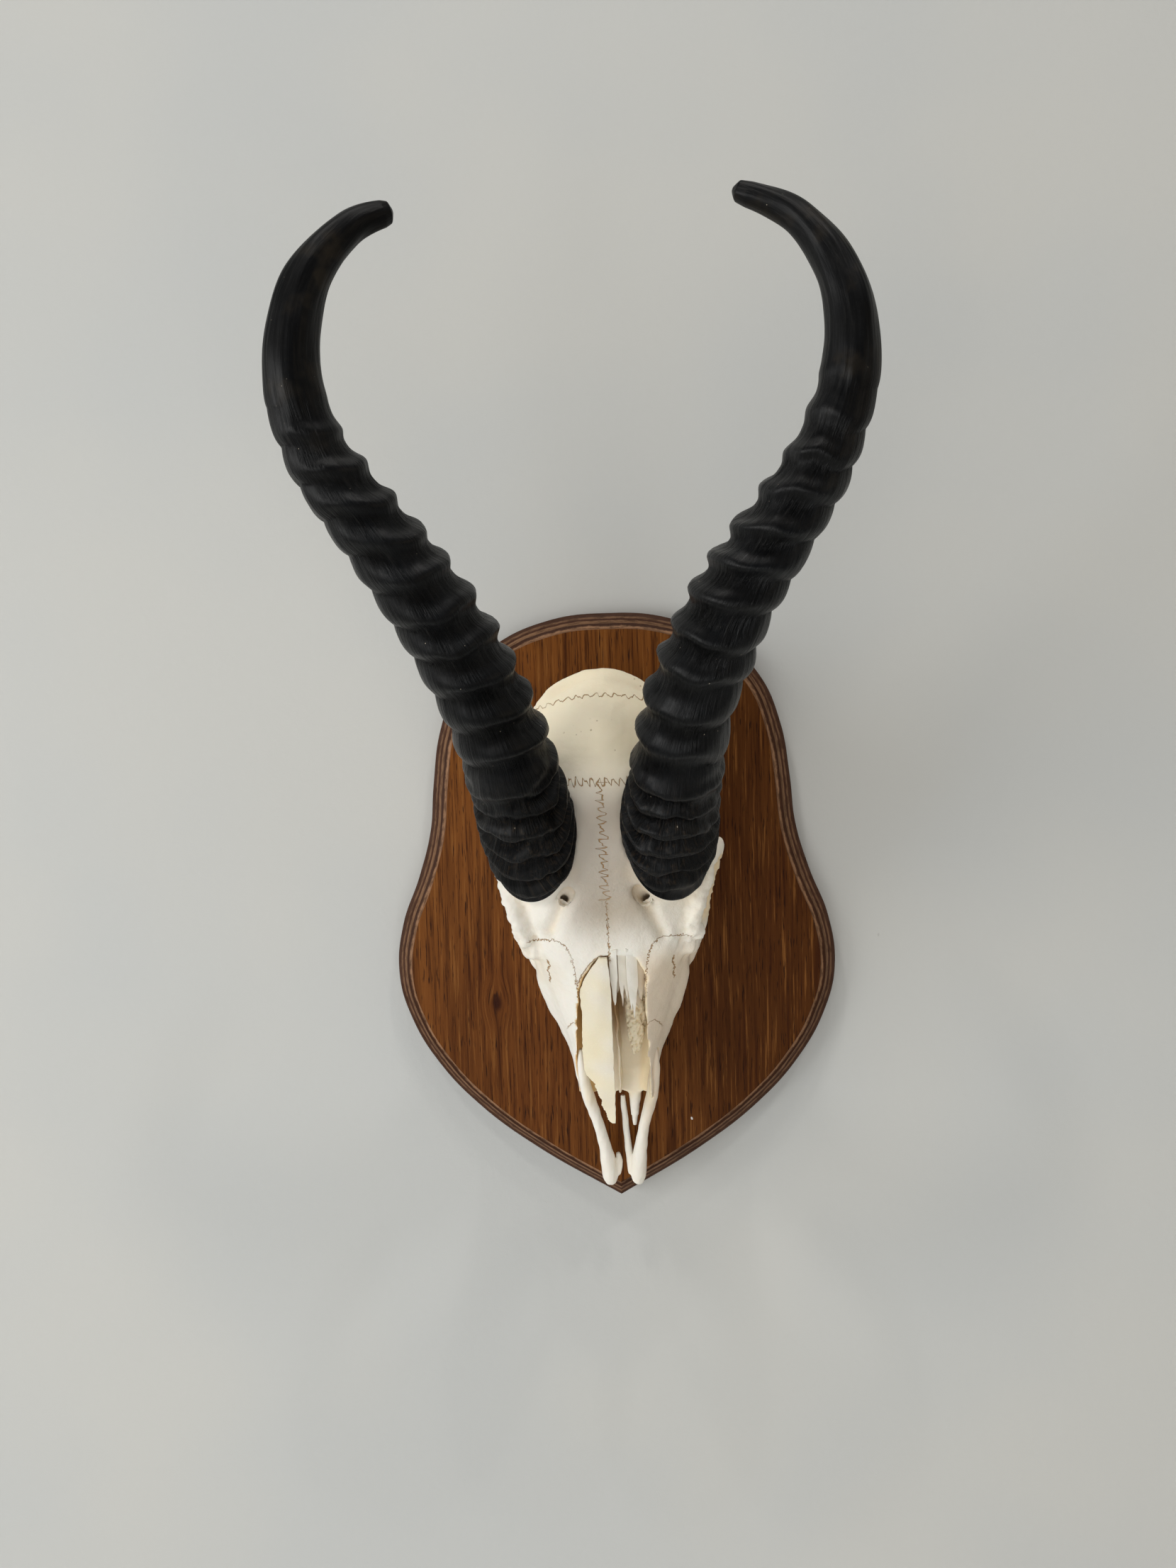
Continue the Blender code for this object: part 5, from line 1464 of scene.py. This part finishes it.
class SkullSizes(bpy.types.PropertyGroup):
    bone_detail: bpy.props.FloatProperty(
        name="Bone detail", description="Size of the bone's smallest modelled forms", default=0.00095,
        min=0.0006, unit="LENGTH", subtype="DISTANCE")
    bone_white: bpy.props.FloatVectorProperty(
        name="Bone white", description="Palest tone of the bleached bone", default=(0.93, 0.89, 0.81),
        subtype="COLOR", size=3)
    bone_cream: bpy.props.FloatVectorProperty(
        name="Bone cream", description="Warmer tone of the bone", default=(0.89, 0.82, 0.69),
        subtype="COLOR", size=3)
    tooth_cream: bpy.props.FloatVectorProperty(
        name="Tooth cream", description="Tone of the cheek teeth", default=(0.74, 0.66, 0.50),
        subtype="COLOR", size=3)


class ShieldSizes(bpy.types.PropertyGroup):
    wood_dark: bpy.props.FloatVectorProperty(
        name="Wood dark", description="Dark stripes of the grain", default=(0.078, 0.024, 0.005),
        subtype="COLOR", size=3)
    wood_warm: bpy.props.FloatVectorProperty(
        name="Wood warm", description="Middle tone of the varnished face", default=(0.165, 0.055, 0.011),
        subtype="COLOR", size=3)
    wood_red: bpy.props.FloatVectorProperty(
        name="Wood red", description="Reddish patches", default=(0.115, 0.032, 0.007),
        subtype="COLOR", size=3)
    wood_orange: bpy.props.FloatVectorProperty(
        name="Wood orange", description="Lighter orange tone near the top", default=(0.24, 0.085, 0.018),
        subtype="COLOR", size=3)


class HornSizes(bpy.types.PropertyGroup):
    ring_reach: bpy.props.FloatProperty(
        name="Ring reach", description="How far a ring of the horn may stand out", default=0.0017,
        unit="LENGTH", subtype="DISTANCE")
    horn_black: bpy.props.FloatVectorProperty(
        name="Horn black", description="Darkest tone of the sheath", default=(0.0008, 0.0008, 0.0010),
        subtype="COLOR", size=3)
    horn_blue: bpy.props.FloatVectorProperty(
        name="Horn blue", description="Cooler tone of the polished parts", default=(0.0016, 0.0020, 0.0028),
        subtype="COLOR", size=3)


class StageColours(bpy.types.PropertyGroup):
    wall_grey: bpy.props.FloatVectorProperty(
        name="Wall grey", description="Paint of the wall", default=(0.57, 0.57, 0.545),
        subtype="COLOR", size=3)
    wall_shade: bpy.props.FloatVectorProperty(
        name="Wall shade", description="Second tone of the paint", default=(0.54, 0.55, 0.54),
        subtype="COLOR", size=3)


class SKULL_OT_shield(bpy.types.Operator):
    """Moulded plywood shield with its drilled back"""
    bl_idname = "skull.shield"
    bl_label = "Shield"
    bl_options = {"REGISTER", "UNDO"}

    def execute(self, context):
        make_shield(context.scene.skull_shield)
        return {"FINISHED"}


class SKULL_OT_cranium(bpy.types.Operator):
    """Fused bone of the skull, with eye sockets, cheek arches, braincase and nasal cavity"""
    bl_idname = "skull.cranium"
    bl_label = "Cranium"
    bl_options = {"REGISTER", "UNDO"}

    def execute(self, context):
        make_cranium(context.scene.skull_bone)
        return {"FINISHED"}


class SKULL_OT_nasal(bpy.types.Operator):
    """The one nasal bone that is left, with its ragged foot"""
    bl_idname = "skull.nasal"
    bl_label = "Nasal Bone"
    bl_options = {"REGISTER", "UNDO"}

    def execute(self, context):
        make_nasal(context.scene.skull_bone)
        return {"FINISHED"}


class SKULL_OT_inner_nose(bpy.types.Operator):
    """Upright blade and spongy scroll inside the nose"""
    bl_idname = "skull.inner_nose"
    bl_label = "Inner Nose"
    bl_options = {"REGISTER", "UNDO"}

    def execute(self, context):
        make_inner_nose(context.scene.skull_bone)
        return {"FINISHED"}


class SKULL_OT_premaxillae(bpy.types.Operator):
    """The two rods of the nose tip"""
    bl_idname = "skull.premaxillae"
    bl_label = "Premaxillae"
    bl_options = {"REGISTER", "UNDO"}

    def execute(self, context):
        make_premaxillae(context.scene.skull_bone)
        return {"FINISHED"}


class SKULL_OT_horns(bpy.types.Operator):
    """The two ringed horn sheaths"""
    bl_idname = "skull.horns"
    bl_label = "Horns"
    bl_options = {"REGISTER", "UNDO"}

    def execute(self, context):
        make_horns(context.scene.skull_horn)
        return {"FINISHED"}


class SKULL_OT_teeth(bpy.types.Operator):
    """Twelve upper cheek teeth"""
    bl_idname = "skull.teeth"
    bl_label = "Cheek Teeth"
    bl_options = {"REGISTER", "UNDO"}

    def execute(self, context):
        make_teeth(context.scene.skull_bone)
        return {"FINISHED"}


class SKULL_OT_fixings(bpy.types.Operator):
    """Plated finish for the screw and the hanger"""
    bl_idname = "skull.fixings"
    bl_label = "Fixings"
    bl_options = {"REGISTER", "UNDO"}

    def execute(self, context):
        dress_fixings(context.scene.skull_bone)
        return {"FINISHED"}


class SKULL_OT_stage(bpy.types.Operator):
    """Wall, floor, lights and camera"""
    bl_idname = "skull.stage"
    bl_label = "Stage"
    bl_options = {"REGISTER", "UNDO"}

    def execute(self, context):
        make_stage(context.scene.skull_stage)
        return {"FINISHED"}


MAKERS = (SKULL_OT_shield, SKULL_OT_cranium, SKULL_OT_nasal, SKULL_OT_inner_nose, SKULL_OT_premaxillae,
          SKULL_OT_horns, SKULL_OT_teeth, SKULL_OT_fixings, SKULL_OT_stage)


class SKULL_PT_panel(bpy.types.Panel):
    """Settings and one button for each piece"""
    bl_label = "Springbok Skull"
    bl_idname = "SKULL_PT_panel"
    bl_space_type = "VIEW_3D"
    bl_region_type = "UI"
    bl_category = "Skull"

    def draw(self, context):
        for group in GROUPS:
            box = self.layout.box()
            settings = getattr(context.scene, group)
            for name in settings.bl_rna.properties.keys():
                if name not in {"rna_type", "name"}:
                    box.prop(settings, name)
        for maker in MAKERS:
            self.layout.operator(maker.bl_idname)


GROUPS = {"skull_bone": SkullSizes, "skull_shield": ShieldSizes, "skull_horn": HornSizes,
          "skull_stage": StageColours}


def register():
    for group in GROUPS.values():
        bpy.utils.register_class(group)
    for name, group in GROUPS.items():
        setattr(bpy.types.Scene, name, bpy.props.PointerProperty(type=group))
    for maker in MAKERS:
        bpy.utils.register_class(maker)
    bpy.utils.register_class(SKULL_PT_panel)


def unregister():
    bpy.utils.unregister_class(SKULL_PT_panel)
    for maker in reversed(MAKERS):
        bpy.utils.unregister_class(maker)
    for name, group in GROUPS.items():
        delattr(bpy.types.Scene, name)
        bpy.utils.unregister_class(group)


def main():
    register()
    bpy.ops.skull.shield()
    bpy.ops.skull.cranium()
    bpy.ops.skull.nasal()
    bpy.ops.skull.inner_nose()
    bpy.ops.skull.premaxillae()
    bpy.ops.skull.horns()
    bpy.ops.skull.teeth()
    bpy.ops.skull.fixings()
    bpy.ops.skull.stage()


if __name__ == "__main__":
    main()
